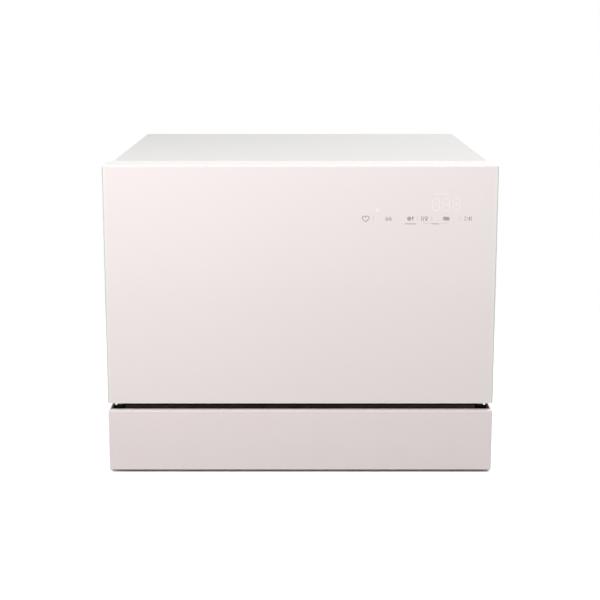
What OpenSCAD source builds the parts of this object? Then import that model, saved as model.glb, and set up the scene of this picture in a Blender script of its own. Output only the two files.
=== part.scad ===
// Countertop dishwasher with a drop-down, glass-fronted door and one dish rack
//
// Millimetres. X is the width, Y the depth with the door facing -Y, and Z is up. The origin
// lies on the worktop under the middle of the machine. Inside each module depths are counted
// from the front: y = 0 is the front face, y = body_d the back.

/* [Overall] */
// Width of the door and the toe panel
door_w = 550; // [545:1:560]
// Height from the worktop to the top of the cabinet
body_h = 445; // [440:1:455]
// Depth from the front face to the screw heads at the back
body_d = 500; // [496:1:515]

/* [Cabinet] */
// How far the cabinet's side stands in from the door's side
side_inset = 5; // [4:0.5:6]
// Thickness of the cabinet's steel sheet
sheet_t = 1.2; // [0.8:0.1:1.4]
// Radius of the cabinet's long upper edges
top_edge_r = 5; // [3:0.5:6]
// Width of the wrap's folded edges
fold_w = 7; // [6.5:0.1:7.4]
// Height of the side sheets' lower edge
side_bottom = 12; // [10:1:16]
// Height of the rubber feet
foot_h = 8; // [7:0.5:10]
// Radius of the rubber feet
foot_r = 16; // [12:1:20]
// Radius of a screw's head
screw_head_r = 4; // [3:0.5:5]

/* [Toe panel] */
// Gap between the worktop and the toe panel
toe_gap = 4; // [3:0.5:6]
// Height of the toe panel
toe_h = 89; // [88:0.5:92]
// Depth of the toe panel's folded lips
toe_lip = 10; // [8:0.5:12]
// Wall of the toe panel
toe_t = 2.5; // [2:0.1:3]
// Height of the dark slot between the toe panel and the door
slot_h = 10; // [9:0.5:11]

/* [Door] */
// Thickness of the door
door_t = 58; // [57:0.5:60]
// Thickness of the glass front
glass_t = 4; // [3:0.5:5]
// Gap between the closed door and the cabinet
door_gap = 2; // [1.5:0.1:2.5]
// Depth of the recess in the door's inner face
liner_recess = 15; // [14:0.5:16]
// Wall of the door shell
shell_t = 2.5; // [2:0.1:3]
// Distance of the hinge line behind the front face
hinge_back = 18; // [17.5:0.1:18.5]
// Height of the hinge line above the door's lower edge
hinge_up = 24; // [23:0.5:25]
// Distance of the hinge arm's middle from the door's side
arm_inset = 18.5; // [18:0.1:19]
// Thickness of a hinge arm
arm_t = 10; // [8:0.5:10.5]
// Radius of a hinge pin
pin_r = 4; // [3.5:0.1:4.5]

/* [Tub] */
// Width left beside the tub's inside, out to the door's side
tub_side = 37; // [36.5:0.5:38]
// Height of the tub's floor
tub_floor = 120; // [119:0.5:122]
// Height left above the tub's inside
tub_headroom = 25; // [24:0.5:27]
// Depth left behind the tub's inside
tub_behind = 48; // [44:1:52]
// Thickness of the tub's steel
tub_t = 1; // [0.8:0.1:1.2]
// Width of the gasket's channel
gasket_w = 11; // [10.5:0.1:11.5]
// Depth of the gasket's channel
gasket_d = 7; // [6:0.5:8]

/* [Spray system] */
// Radius swept by the lower spray arm
lower_arm_r = 168; // [150:1:172]
// Radius swept by the upper spray arm
upper_arm_r = 140; // [120:1:150]
// Radius of the hollow hubs that the spray arms turn on
hub_r = 10; // [9:0.5:11]
// Outer radius of the sump
sump_r = 95; // [93:1:97]
// Radius of the filter cup
filter_r = 34; // [30:1:36]

/* [Rack] */
// Diameter of the rack's coated wire
wire_d = 4; // [3.6:0.1:4.2]
// Gap between the rack and the tub's side
rack_side = 14; // [13.5:0.5:16]
// Height of the rack's side walls above its floor
rack_wall_h = 92; // [84:1:96]
// Height of the rack's front wall above its floor
rack_front_h = 66; // [56:1:74]
// Spacing of the rack's floor wires
rack_pitch = 28; // [26:1:34]
// Radius of a rack wheel
wheel_r = 14; // [12:0.5:15]
// Height of the plate tines
tine_h = 64; // [54:1:68]
// Length of the cutlery basket, front to back
basket_l = 230; // [200:5:250]
// Width of the cutlery basket
basket_w = 76; // [66:1:84]
// Height of the cutlery basket
basket_h = 104; // [90:1:110]

/* [Hidden] */
$fn = 64;

// Clearances: a seat between fixed pieces, a running fit and a gap beside a moving piece
seat = 0.3;
running = 0.05;
swing_gap = 1.5;
// Hairline between sheets that are welded or screwed face to face
seam = 0.05;
// Overshoot of a cut past the face that it opens
cut = 1;

// Cabinet
half_w = door_w / 2;
cab_half = half_w - side_inset;
cab_in = cab_half - sheet_t;
screw_head_h = 1.95;
rear_plate_t = 1;
back_y = body_d - screw_head_h - rear_plate_t - seam;
rear_fold_w = 14;
cab_front = door_t + door_gap;

// Toe panel and door
toe_top = toe_gap + toe_h;
door_bottom = toe_top + slot_h;
hinge_y = hinge_back;
hinge_z = door_bottom + hinge_up;
lip_r = door_t - hinge_y;
glass_front = 0.3;
glass_back = glass_front + glass_t;
shell_front = glass_back + 0.1;
liner_t = 1;
track_y = door_t - liner_recess;
rail_z = hinge_z + track_y - hinge_y;
arm_mid = half_w - arm_inset;
arm_slot = arm_t + 2 * swing_gap;
arm_half_h = 9;
arm_gap = 1.5;

// Tub
tub_half = half_w - tub_side;
tub_top = body_h - tub_headroom;
tub_back = body_d - tub_behind;
tub_corner_r = 18;
rim_y = cab_front + sheet_t + seat;
channel_y = rim_y + gasket_d;
channel_half = tub_half + gasket_w;
rim_half = cab_in - 0.4;
rim_top = body_h - sheet_t - 0.4;
arm_notch_z = hinge_z + arm_half_h + 10;
sill_lip_h = 12;
hub_to_back = 192;
hub_y = tub_back - hub_to_back;

// Base
tray_z = foot_h;
tray_t = 2.5;
tray_front = 40;
tray_half = cab_in - 0.4;
tray_front_top = toe_top - 3;
tray_side_top = 60;
port_recess = 17;
port_z = 38;
port_half = half_w - 35;
tower_z = hinge_z - 32;
tray_floor_top = tray_z + tray_t;
tower_y0 = cab_front + 8;
tower_l = 76;
tower_w = 14;
tower_wall = 6;
saddle_t = 8;
foot_x = half_w - 65;
foot_front_y = cab_front + 15;
foot_back_y = back_y - 47;

// Pump row, on one line under the tub
pump_z = 60;
pump_r = 44;
sump_x = 30;
sump_y = hub_y;
sump_z = 34;
sump_face_x = sump_x - sump_r - 1;
volute_l = 34;
motor_r = 38;
motor_l = 104;
motor_x = sump_face_x - volute_l - motor_l;
shaft_r = 4;
drain_face_x = sump_x + sump_r + 2;
drain_r = 24;
drain_l = 62;
heater_y = hub_y + sump_r + 34;
heater_r = 20;
heater_l = 150;

// Softener, inlet and outlet at the back
softener_x = -half_w + 89;
softener_y = back_y - 115;
softener_l = 112;
softener_w = 96;
softener_neck_r = 28;
heater_x0 = softener_x + softener_w / 2 + 26;
valve_x = -half_w + 70;
valve_thread_r = 13.2;
drain_x = valve_x + 75;
drain_spigot_r = 10;
gland_x = half_w - 75;
gland_neck_r = 7;
gland_hole_r = 4.2;
// The fittings' necks are a little wider where they pass through the wall
neck_step = 1;
wall_y = back_y - port_recess;

// Control box and leak float in the base's right half
box_x1 = half_w - 39;
box_w = 116;
box_t = 4;
box_h = 47.5;
float_x = gland_x;
float_y = hub_y + 80;
float_r = 18;
float_post_r = 3;

// Filter
filter_x = 60;
filter_z = sump_z + 12;

// Rack
wire_r = wire_d / 2;
// Distance between the lines of two crossing wires, welded a little into each other
weld = wire_d - 0.4;
rack_half = tub_half - rack_side;
rack_front_y = door_t + 17;
rack_back_y = tub_back - 20;
rack_z = rail_z + 20;
deck_z = rack_z + weld;
deck_top = deck_z + wire_r;
rack_rim_z = deck_top + rack_wall_h;
wheel_w = 7;
wheel_x = rack_half + 7.5;
wheel_z = rail_z + wheel_r + seat;
front_wheel_y = rack_front_y + 65;
rear_wheel_y = rack_back_y - 52;
axle_r = 2.5;
tine_pitch = rack_pitch;
fixed_tine_y = rack_back_y - 100;
fold_tine_y = fixed_tine_y - 96;
basket_x = rack_half - 74;
tine_x0 = -rack_half + 18;
tine_x1 = basket_x - basket_w / 2 - 46;
basket_y0 = rack_front_y + 14;
basket_z = deck_top + seat;
shelf_z = rack_rim_z + wire_r + 4.4;
shelf_w = 112;
shelf_gap = 8;
shelf_l = (rack_back_y - rack_front_y - shelf_gap) / 2 - 12;

// Spray arms
lower_arm_z = tub_floor + 8;
upper_arm_z = tub_top - 30;
riser_t = 12;
riser_half = 16;
riser_y = tub_back - riser_t;

// Dispenser, in the door's inner face
disp_x0 = -102;
disp_x1 = 84;
disp_z0 = hinge_z + 86;
disp_h = 92;
disp_depth = 30;
disp_face = track_y + 1.5;
cup_x0 = -34;
cup_w = 58;
cup_z0 = disp_z0 + 14;
cup_h = 50;
cup_deep = 24;
lid_w = cup_w + 10;
lid_h = cup_h + 10;
lid_t = 3;
rinse_x = 58;
rinse_z = disp_z0 + 44;
rinse_r = 16;
release_z = disp_z0 + 82;
release_x = cup_x0 + cup_w / 2;

// Latch, at the top middle of the door
latch_half = 32;
latch_z0 = tub_top + 1;
latch_z1 = body_h - shell_t - 1.5;
pawl_w = 12;
pawl_z = tub_top + 14;
pawl_t = 3.4;
pawl_y = 34;
pawl_tip = door_t - 3;
strike_half = 12;
strike_t = 1.2;
tongue_half = 5;

// Places the front-counted pieces in the object's own frame
module from_front() {
    translate([0, -body_d / 2, 0]) children();
}

module both_sides() {
    children();
    mirror([1, 0, 0]) children();
}

// A cylinder along X or along Y, from its low end
module rod_x(r, l, fn = 64) {
    rotate([0, 90, 0]) cylinder(r = r, h = l, $fn = fn);
}

module rod_y(r, l, fn = 64) {
    rotate([-90, 0, 0]) cylinder(r = r, h = l, $fn = fn);
}

// Wires are eight-sided prisms along one axis, centred on their line
module wire_x(x0, x1) {
    translate([x0, 0, 0]) rotate([0, 90, 0]) cylinder(r = wire_r, h = x1 - x0, $fn = 8);
}

module wire_y(y0, y1) {
    translate([0, y0, 0]) rotate([-90, 0, 0]) cylinder(r = wire_r, h = y1 - y0, $fn = 8);
}

module wire_z(z0, z1) {
    translate([0, 0, z0]) cylinder(r = wire_r, h = z1 - z0, $fn = 8);
}

// A block whose four edges along Y are rounded
module block_y(x0, x1, y0, y1, z0, z1, r) {
    translate([x0 + r, y0, z0]) cube([x1 - x0 - 2 * r, y1 - y0, z1 - z0]);
    translate([x0, y0, z0 + r]) cube([x1 - x0, y1 - y0, z1 - z0 - 2 * r]);
    for (x = [x0 + r, x1 - r], z = [z0 + r, z1 - r]) translate([x, y0, z]) rod_y(r, y1 - y0);
}

// A block whose four upright edges are rounded
module block_z(x0, x1, y0, y1, z0, z1, r) {
    translate([x0 + r, y0, z0]) cube([x1 - x0 - 2 * r, y1 - y0, z1 - z0]);
    translate([x0, y0 + r, z0]) cube([x1 - x0, y1 - y0 - 2 * r, z1 - z0]);
    for (x = [x0 + r, x1 - r], y = [y0 + r, y1 - r]) {
        translate([x, y, z0]) cylinder(r = r, h = z1 - z0);
    }
}

module box_between(a, b) {
    translate(a) cube(b - a);
}

// Evenly spaced places from a to b, no further apart than pitch
function spread(a, b, pitch) = let (n = ceil((b - a) / pitch)) [for (i = [0 : n]) a + (b - a) * i / n];

// The wrap's outline, seen from the front, drawn in by an inset
module wrap_block(inset, y0, y1) {
    half = cab_half - inset;
    top = body_h - inset;
    r = max(top_edge_r - inset, 0.5);
    box_between([-half, y0, side_bottom], [half, y1, top - r]);
    box_between([-half + r, y0, top - r - cut], [half - r, y1, top]);
    for (x = [-half + r, half - r]) translate([x, y0, top - r]) rod_y(r, y1 - y0);
}

// Painted sheet over the top and both sides, folded in at the front and the back
module cabinet_wrap() {
    front_half = cab_half - fold_w;
    color([0.93, 0.92, 0.91]) from_front() difference() {
        wrap_block(0, cab_front, back_y);
        wrap_block(sheet_t, cab_front + sheet_t, back_y - sheet_t);
        box_between([-cab_in, cab_front - cut, 0], [cab_in, back_y + cut, tray_side_top + seat]);
        box_between([-front_half, cab_front - cut, 0], [front_half, cab_front + 2 * cut, body_h - fold_w]);
        box_between([-cab_in + rear_fold_w, back_y - 2 * cut, 0],
                    [cab_in - rear_fold_w, back_y + cut, body_h - rear_fold_w]);
        box_between([-strike_half - 4, cab_front - cut, body_h - 2 * fold_w],
                    [strike_half + 4, cab_front + sheet_t + 0.1, body_h - sheet_t]);
    }
}

// Screws along the top and down both sides of the back sheet
function screw_places() = concat(
    [for (x = [25 - half_w, -90, 90, half_w - 25]) [x, body_h - 9]],
    [for (x = [15 - half_w, half_w - 15], z = [tray_side_top + 30, body_h - 215, body_h - 105]) [x, z]]
);

// Back sheet, with louvres over the pump
module rear_panel() {
    louvre_x0 = sump_x + 30;
    louvre_l = 100;
    louvre_w = 4;
    louvre_pitch = 10;
    louvre_z0 = tray_side_top + 36;
    color([0.72, 0.72, 0.73]) from_front() difference() {
        box_between([-cab_half + 1, back_y + seam, tray_side_top + 1],
                    [cab_half - 1, back_y + seam + rear_plate_t, body_h - 2]);
        for (i = [0 : 4]) {
            z = louvre_z0 + i * louvre_pitch;
            block_y(louvre_x0, louvre_x0 + louvre_l, back_y - cut, back_y + 3, z, z + louvre_w, 1.9);
        }
    }
}

module rear_screws() {
    color([0.8, 0.8, 0.82]) from_front() for (p = screw_places()) {
        slot = screw_head_r - 1;
        translate([p[0], body_d - screw_head_h, p[1]]) difference() {
            rod_y(screw_head_r, screw_head_h, 24);
            box_between([-0.6, screw_head_h / 2, -slot], [0.6, screw_head_h + cut, slot]);
            box_between([-slot, screw_head_h / 2, -0.6], [slot, screw_head_h + cut, 0.6]);
        }
    }
}

// Moulded base that catches leaks and carries the pumps, the hinge towers and the feet
module base_tray() {
    base_z = tray_floor_top - 0.5;
    color([0.16, 0.15, 0.16]) from_front() {
        difference() {
            union() {
                box_between([-tray_half, tray_front, tray_z], [tray_half, back_y, tray_side_top]);
                box_between([-tray_half, tray_front, tray_z],
                            [tray_half, tray_front + tray_t, tray_front_top]);
            }
            box_between([-tray_half + tray_t, tray_front + tray_t, tray_floor_top],
                        [tray_half - tray_t, wall_y - tray_t, tray_front_top + cut]);
            box_between([-port_half, wall_y - tray_t - cut, tray_z - cut],
                        [port_half, back_y + cut, tray_side_top - tray_t]);
            both_sides() box_between([port_half + tray_t, wall_y - tray_t - cut, tray_floor_top],
                                     [tray_half - tray_t, back_y - tray_t, tray_side_top + cut]);
        }
        both_sides() difference() {
            box_between([arm_mid - tower_w / 2, tower_y0, base_z],
                        [arm_mid + tower_w / 2, tower_y0 + tower_l, tower_z]);
            box_between([arm_mid - tower_w / 2 + 3, tower_y0 + tower_wall, base_z + 3],
                        [arm_mid + tower_w, tower_y0 + tower_l - tower_wall, tower_z - tower_wall]);
        }
        for (x = [motor_x + 14, motor_x + motor_l - 22]) {
            box_between([x, hub_y - 26, base_z], [x + saddle_t, hub_y + 26, pump_z - motor_r]);
        }
        for (x = [heater_x0 + 16, heater_x0 + heater_l - 24]) {
            box_between([x, heater_y - 12, base_z], [x + saddle_t, heater_y + 12, pump_z - heater_r]);
        }
        box_between([drain_face_x + 20, hub_y - 14, base_z],
                    [drain_face_x + 20 + saddle_t, hub_y + 14, pump_z - drain_r]);
        translate([float_x, float_y, base_z]) cylinder(r = float_post_r, h = 30.5);
    }
}

// Wall of the recess at the back, with holes for the two water fittings and the mains lead
module connection_plate() {
    y0 = wall_y - tray_t + seat;
    color([0.18, 0.17, 0.18]) from_front() difference() {
        box_between([-port_half + seat, y0, tray_z],
                    [port_half - seat, wall_y, tray_side_top - tray_t - seat]);
        translate([valve_x, y0 - cut, port_z]) rod_y(valve_thread_r + neck_step + seat, 2 * tray_t);
        translate([drain_x, y0 - cut, port_z]) rod_y(drain_spigot_r + neck_step + seat, 2 * tray_t);
        translate([gland_x, y0 - cut, port_z]) rod_y(gland_neck_r + seat, 2 * tray_t);
    }
}

module rubber_feet() {
    color([0.12, 0.12, 0.12]) from_front() for (x = [-foot_x, foot_x], y = [foot_front_y, foot_back_y]) {
        translate([x, y, 0]) difference() {
            union() {
                cylinder(r = foot_r, h = 3);
                translate([0, 0, 3]) cylinder(r = foot_r - 2, h = foot_h - 3);
            }
            translate([0, 0, -cut]) cylinder(r = foot_r - 8, h = cut + 2);
        }
    }
}

// White front panel under the door: a face with folded lips, ends and four clips to the base
module toe_panel() {
    color([0.87, 0.83, 0.83]) from_front() {
        difference() {
            box_between([-half_w, 0, toe_gap], [half_w, door_t, toe_top]);
            box_between([-half_w + toe_t, toe_t, toe_gap + toe_t],
                        [half_w - toe_t, door_t + cut, toe_top - toe_t]);
            box_between([-half_w + toe_t, toe_lip, toe_gap - cut],
                        [half_w - toe_t, door_t + cut, toe_top + cut]);
        }
        mid_z = toe_gap + toe_h / 2 - 6.5;
        for (x = [75 - half_w, -70, 70, half_w - 75]) {
            box_between([x - 6, toe_t - 0.5, mid_z - 2], [x + 6, tray_front, mid_z + 2]);
            box_between([x - 2, toe_t - 0.5, mid_z - 12], [x + 2, tray_front, mid_z + 12]);
        }
    }
}

// Dark cross member between the hinge arms, seen through the slot
module front_brace() {
    top = tub_floor - sill_lip_h - seat;
    half = channel_half - 2;
    depth = 7;
    height = 26;
    t = 2;
    color([0.2, 0.17, 0.17]) from_front() difference() {
        box_between([-half, cab_front + 1, top - height], [half, cab_front + 1 + depth, top]);
        box_between([-half + t, cab_front + 1 + t, top - height + t],
                    [half - t, cab_front + depth + 2, top - t]);
    }
}

// Steel arms that stand on the base's towers and reach forward to the hinge line
module hinge_arms() {
    x0 = arm_mid - arm_t / 2;
    reach_z = hinge_z - arm_half_h;
    foot_end = tower_y0 + tower_l - tower_wall;
    bolt_r = 2.5;
    color([0.62, 0.62, 0.64]) from_front() both_sides() difference() {
        union() {
            translate([x0, hinge_y, hinge_z]) rod_x(arm_half_h, arm_t);
            box_between([x0, hinge_y, reach_z], [x0 + arm_t, foot_end, hinge_z + arm_half_h]);
            box_between([x0, tower_y0 + 2, tower_z], [x0 + arm_t, foot_end, reach_z + cut]);
        }
        translate([x0 - cut, hinge_y, hinge_z]) rod_x(pin_r, arm_t + 2 * cut);
        for (y = [tower_y0 + 20, tower_y0 + 52]) {
            translate([arm_mid, y, tower_z - cut]) cylinder(r = bolt_r, h = 16);
        }
    }
}

// One steel pin through each arm, with its ends in the door's housings
module hinge_pins() {
    color([0.75, 0.75, 0.77]) from_front() both_sides() {
        translate([arm_mid - arm_slot / 2 - 25.5, hinge_y, hinge_z]) rod_x(pin_r, 46);
    }
}

// Steel sides, top and back of the tub, with rounded long edges
module tub() {
    y0 = channel_y + tub_t + seam;
    color([0.74, 0.75, 0.76]) from_front() difference() {
        block_y(-tub_half - tub_t, tub_half + tub_t, y0, tub_back + tub_t, tub_floor - tub_t, tub_top + tub_t,
                tub_corner_r + tub_t);
        block_y(-tub_half, tub_half, y0 - cut, tub_back, tub_floor, tub_top, tub_corner_r);
        box_between([-tub_half + tub_corner_r, y0 - cut, tub_floor - 2 * tub_t],
                    [tub_half - tub_corner_r, tub_back, tub_floor + cut]);
    }
}

// Floor sheet of the tub, with a sill turned down at the front
module tub_bottom() {
    half = tub_half - tub_corner_r - seam;
    z0 = tub_floor - tub_t;
    color([0.72, 0.73, 0.74]) from_front() difference() {
        union() {
            box_between([-half, rim_y - tub_t, z0], [half, tub_back - seam, tub_floor]);
            box_between([-tub_half, rim_y - tub_t, z0], [tub_half, channel_y + tub_t, tub_floor]);
            box_between([-tub_half, rim_y - tub_t, tub_floor - sill_lip_h], [tub_half, rim_y, tub_floor]);
        }
        translate([sump_x, sump_y, tub_floor - 3]) cylinder(r = sump_r - 6, h = 6);
        translate([softener_x, softener_y, tub_floor - 3]) cylinder(r = softener_neck_r + seat, h = 6);
        box_between([-riser_half + 2, riser_y + 2, tub_floor - 3],
                    [riser_half - 2, tub_back - 2, tub_floor + 3]);
    }
}

// Front frame of the tub: a flat rim that steps back into the seal's channel
module tub_frame() {
    color([0.76, 0.77, 0.78]) from_front() difference() {
        union() {
            block_y(-channel_half - tub_t, channel_half + tub_t, rim_y, channel_y + tub_t, tub_floor - tub_t,
                    tub_top + gasket_w + tub_t, 6);
            block_y(-rim_half, rim_half, rim_y, rim_y + tub_t, arm_notch_z, rim_top, top_edge_r);
        }
        block_y(-tub_half, tub_half, rim_y - cut, channel_y + 2 * tub_t, tub_floor, tub_top, tub_corner_r);
        block_y(-channel_half, channel_half, rim_y - cut, channel_y, tub_floor, tub_top + gasket_w, 5);
        box_between([-tub_half - seam, rim_y - cut, tub_floor - 2 * tub_t],
                    [tub_half + seam, channel_y + 2 * tub_t, tub_floor + seam]);
    }
}

// Rubber seals: one up the channel's sides and across its top, and one on the sill that is
// hollowed to the door's round lower edge
module door_seals() {
    color([0.25, 0.25, 0.26]) from_front() {
        difference() {
            block_y(-channel_half + seat, channel_half - seat, door_t + seat, channel_y, tub_floor + 1,
                    tub_top + gasket_w - seat, 5);
            block_y(-tub_half - 1, tub_half + 1, door_t - cut, channel_y + cut, tub_floor - 30, tub_top + 1,
                    tub_corner_r);
            box_between([-channel_half + 4, door_t + 4, tub_floor],
                        [channel_half - 4, channel_y - 3, tub_top + gasket_w - 4]);
        }
        difference() {
            box_between([-tub_half, door_t - 3, tub_floor - sill_lip_h + 1],
                        [tub_half, rim_y - tub_t, tub_floor + 1.5]);
            translate([-tub_half - cut, hinge_y, hinge_z]) rod_x(lip_r + seat, 2 * tub_half + 2 * cut, 96);
        }
    }
}

// Damping felt over the tub's top and sides
module insulation_blanket() {
    felt = 4;
    off = seat + tub_t;
    y0 = channel_y + 8;
    z0 = tub_floor + 22;
    color([0.33, 0.32, 0.31]) from_front() difference() {
        block_y(-tub_half - off - felt, tub_half + off + felt, y0, tub_back - 6, z0, tub_top + off + felt,
                tub_corner_r);
        block_y(-tub_half - off, tub_half + off, y0 - cut, tub_back, z0 - 2 * tub_corner_r, tub_top + off,
                tub_corner_r);
    }
}

// Ledges that the rack's wheels roll on
module rack_rails() {
    color([0.68, 0.69, 0.7]) from_front() both_sides() {
        box_between([wheel_x - wheel_w / 2 - 3, channel_y - 5, rail_z - 3],
                    [tub_half - seat, rear_wheel_y + 30, rail_z]);
    }
}

// Water well under the tub floor, with the hollow hub for the lower arm and the pump stubs
module sump() {
    color([0.3, 0.3, 0.31]) from_front() difference() {
        union() {
            translate([sump_x, sump_y, sump_z]) cylinder(r = sump_r, h = tub_floor - tub_t - sump_z);
            box_between([sump_face_x, hub_y - 22, pump_z - 22], [sump_face_x + 24, hub_y + 22, pump_z + 22]);
            box_between([drain_face_x - 24, hub_y - 20, pump_z - 20],
                        [drain_face_x, hub_y + 20, pump_z + 20]);
            for (y = [-50, 50]) {
                translate([sump_x, sump_y + y, tray_floor_top]) cylinder(r = 7,
                                                                         h = sump_z - tray_floor_top + 1);
            }
        }
        difference() {
            translate([sump_x, sump_y, sump_z + 3]) cylinder(r = sump_r - 3, h = tub_floor);
            translate([0, hub_y, sump_z]) cylinder(r = hub_r, h = tub_floor);
        }
        translate([sump_face_x - cut, hub_y, pump_z]) rod_x(12, 40);
        translate([drain_face_x - 36, hub_y, pump_z]) rod_x(10, 40);
        translate([0, hub_y, sump_z + 10]) cylinder(r = hub_r - 2.5, h = tub_floor);
    }
    color([0.3, 0.3, 0.31]) from_front() translate([0, hub_y, tub_floor - 6]) difference() {
        cylinder(r = hub_r, h = lower_arm_z + 14 - tub_floor + 6);
        translate([0, 0, -cut]) cylinder(r = hub_r - 2.5, h = 60);
    }
}

// Perforated steel plate over the sump
module filter_plate() {
    rings = [[50, 20], [66, 26], [80, 32]];
    color([0.78, 0.79, 0.8]) from_front() difference() {
        translate([sump_x, sump_y, tub_floor]) cylinder(r = sump_r - 2, h = 1.2);
        translate([0, hub_y, tub_floor - cut]) cylinder(r = hub_r + seat, h = 4);
        translate([filter_x, hub_y, tub_floor - cut]) cylinder(r = filter_r + 1.5, h = 4);
        for (ring = rings, i = [0 : ring[1] - 1]) {
            a = 360 * (i + 0.5) / ring[1];
            x = sump_x + ring[0] * cos(a);
            y = sump_y + ring[0] * sin(a);
            if (norm([x - filter_x, y - hub_y]) > filter_r + 6 && norm([x, y - hub_y]) > hub_r + 5) {
                translate([x, y, tub_floor - cut]) cylinder(r = 2, h = 4, $fn = 8);
            }
        }
    }
}

// Cup with a handle that lifts out of the filter plate after a quarter turn
module filter_cup() {
    color([0.55, 0.56, 0.58]) from_front() translate([filter_x, hub_y, 0]) {
        difference() {
            union() {
                translate([0, 0, filter_z]) cylinder(r = filter_r, h = tub_floor + 1.5 - filter_z);
                translate([0, 0, tub_floor + 1.5]) cylinder(r = filter_r + 5, h = 1.5);
            }
            translate([0, 0, filter_z + 2]) cylinder(r = filter_r - 2, h = tub_floor);
        }
        difference() {
            translate([-filter_r + 1, -2, tub_floor - 22]) cube([2 * filter_r - 2, 4, 27]);
            translate([0, 0, tub_floor - 24]) cylinder(r = 12, h = 20);
        }
    }
}

// Flat duct up the tub's back and along its ceiling, ending in the upper arm's hub
module spray_riser() {
    color([0.5, 0.51, 0.53]) from_front() {
        box_between([-riser_half, riser_y, tub_floor + 0.2], [riser_half, tub_back - 0.2, tub_top - 0.2]);
        box_between([-riser_half, hub_y - riser_half, tub_top - 10],
                    [riser_half, tub_back - 0.2, tub_top - 0.2]);
        translate([0, hub_y, upper_arm_z + 2]) cylinder(r = hub_r, h = 20);
    }
}

// Volute on the sump's suction side, open inside for the impeller
module circulation_pump() {
    x0 = sump_face_x - volute_l;
    color([0.35, 0.36, 0.38]) from_front() difference() {
        union() {
            translate([x0, hub_y, pump_z]) rod_x(pump_r, volute_l);
            box_between([x0 + 4, hub_y, pump_z + 20], [x0 + 30, hub_y + 60, pump_z + 40]);
        }
        translate([x0 + 3, hub_y, pump_z]) rod_x(pump_r - 4, volute_l - 6);
        translate([x0 + volute_l - 4, hub_y, pump_z]) rod_x(12, 6);
        translate([x0 - cut, hub_y, pump_z]) rod_x(shaft_r + 2, 6);
    }
}

module pump_motor() {
    color([0.5, 0.5, 0.52]) from_front() difference() {
        translate([motor_x, hub_y, pump_z]) rod_x(motor_r, motor_l);
        translate([motor_x + 5, hub_y, pump_z]) rod_x(motor_r - 6, motor_l - 10);
        translate([motor_x + 2, hub_y, pump_z]) rod_x(shaft_r + running, motor_l);
    }
}

// Motor shaft with the impeller on its end
module pump_rotor() {
    x1 = sump_face_x - 8;
    disc_x = x1 - 20;
    color([0.85, 0.8, 0.6]) from_front() translate([0, hub_y, pump_z]) {
        translate([motor_x + 3, 0, 0]) rod_x(shaft_r, x1 - motor_x - 3);
        translate([motor_x + 12, 0, 0]) rod_x(motor_r - 12, motor_l - 24);
        translate([disc_x, 0, 0]) rod_x(32, 3);
        for (a = [0 : 60 : 300]) {
            rotate([a, 0, 0]) translate([disc_x + 2, 8, -1.5]) cube([11, 22, 3]);
        }
    }
}

module drain_pump() {
    color([0.28, 0.29, 0.3]) from_front() {
        translate([drain_face_x, hub_y, pump_z]) rod_x(drain_r, drain_l);
        translate([drain_face_x + 12, hub_y, pump_z]) rod_y(8, 46);
    }
}

module flow_heater() {
    color([0.7, 0.7, 0.72]) from_front() {
        translate([heater_x0, heater_y, pump_z]) rod_x(heater_r, heater_l);
        translate([heater_x0 - 14, heater_y, pump_z]) rod_x(9, heater_l + 28);
    }
}

// Resin tank with a neck that comes up through the tub floor
module water_softener() {
    x0 = softener_x - softener_w / 2;
    y0 = softener_y - softener_l / 2;
    color([0.85, 0.85, 0.83]) from_front() difference() {
        union() {
            block_z(x0, x0 + softener_w, y0, y0 + softener_l, tray_floor_top, tub_floor - tub_t - 2, 8);
            translate([softener_x, softener_y, tub_floor - 10]) cylinder(r = softener_neck_r, h = 12);
        }
        translate([softener_x, softener_y, tub_floor - 30]) cylinder(r = softener_neck_r - 4, h = 40);
    }
}

module salt_cap() {
    color([0.2, 0.35, 0.6]) from_front() translate([softener_x, softener_y, 0]) {
        translate([0, 0, tub_floor + 2.3]) cylinder(r = softener_neck_r + 3, h = 5);
        translate([0, 0, tub_floor - 8]) cylinder(r = softener_neck_r - 4 - running, h = 11);
        translate([-softener_neck_r + 3, -3, tub_floor + 7]) cube([2 * softener_neck_r - 6, 6, 7]);
    }
}

// Thin tank between the tub and the cabinet's left side that measures the water
module air_break() {
    x0 = -cab_in + seat;
    x1 = -tub_half - tub_t - 8;
    z0 = tub_floor + 30;
    color([0.8, 0.82, 0.84]) from_front() {
        box_between([x0, hub_y - 70, z0], [x1, hub_y + 130, tub_top - 30]);
        box_between([x0 + 3, hub_y - 60, tray_side_top - 8], [x1 - 4, hub_y - 30, z0 + cut]);
    }
}

// Solenoid valve whose threaded neck comes out of the recess at the back
module inlet_valve() {
    half = 18;
    depth = 26;
    color([0.9, 0.9, 0.88]) from_front() {
        difference() {
            union() {
                box_between([valve_x - half, wall_y - depth, port_z - 16],
                            [valve_x + half, wall_y - tray_t, port_z + 16]);
                translate([valve_x, wall_y - depth + cut, port_z])
                    rod_y(valve_thread_r + neck_step, depth - cut + seat);
                translate([valve_x, wall_y - tray_t, port_z]) rod_y(valve_thread_r,
                                                                    port_recess + tray_t + 2.5);
            }
            translate([valve_x, wall_y, port_z]) rod_y(8, port_recess + 4);
        }
        box_between([valve_x - 12, wall_y - depth + 2, tray_floor_top], [valve_x + 12, wall_y - 8, port_z]);
    }
}

// Ribless hose end of the drain, with a shoulder inside the wall
module drain_spigot() {
    shoulder = 5;
    inner = 12;
    color([0.35, 0.36, 0.38]) from_front() difference() {
        translate([drain_x, wall_y - inner, port_z]) {
            rod_y(drain_spigot_r + neck_step, inner + seat);
            rod_y(drain_spigot_r + shoulder, inner - tray_t);
            rod_y(drain_spigot_r, inner + port_recess + 2);
        }
        translate([drain_x, wall_y - inner + 2, port_z]) rod_y(drain_spigot_r - 2.5, inner + port_recess + 2);
    }
}

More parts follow.
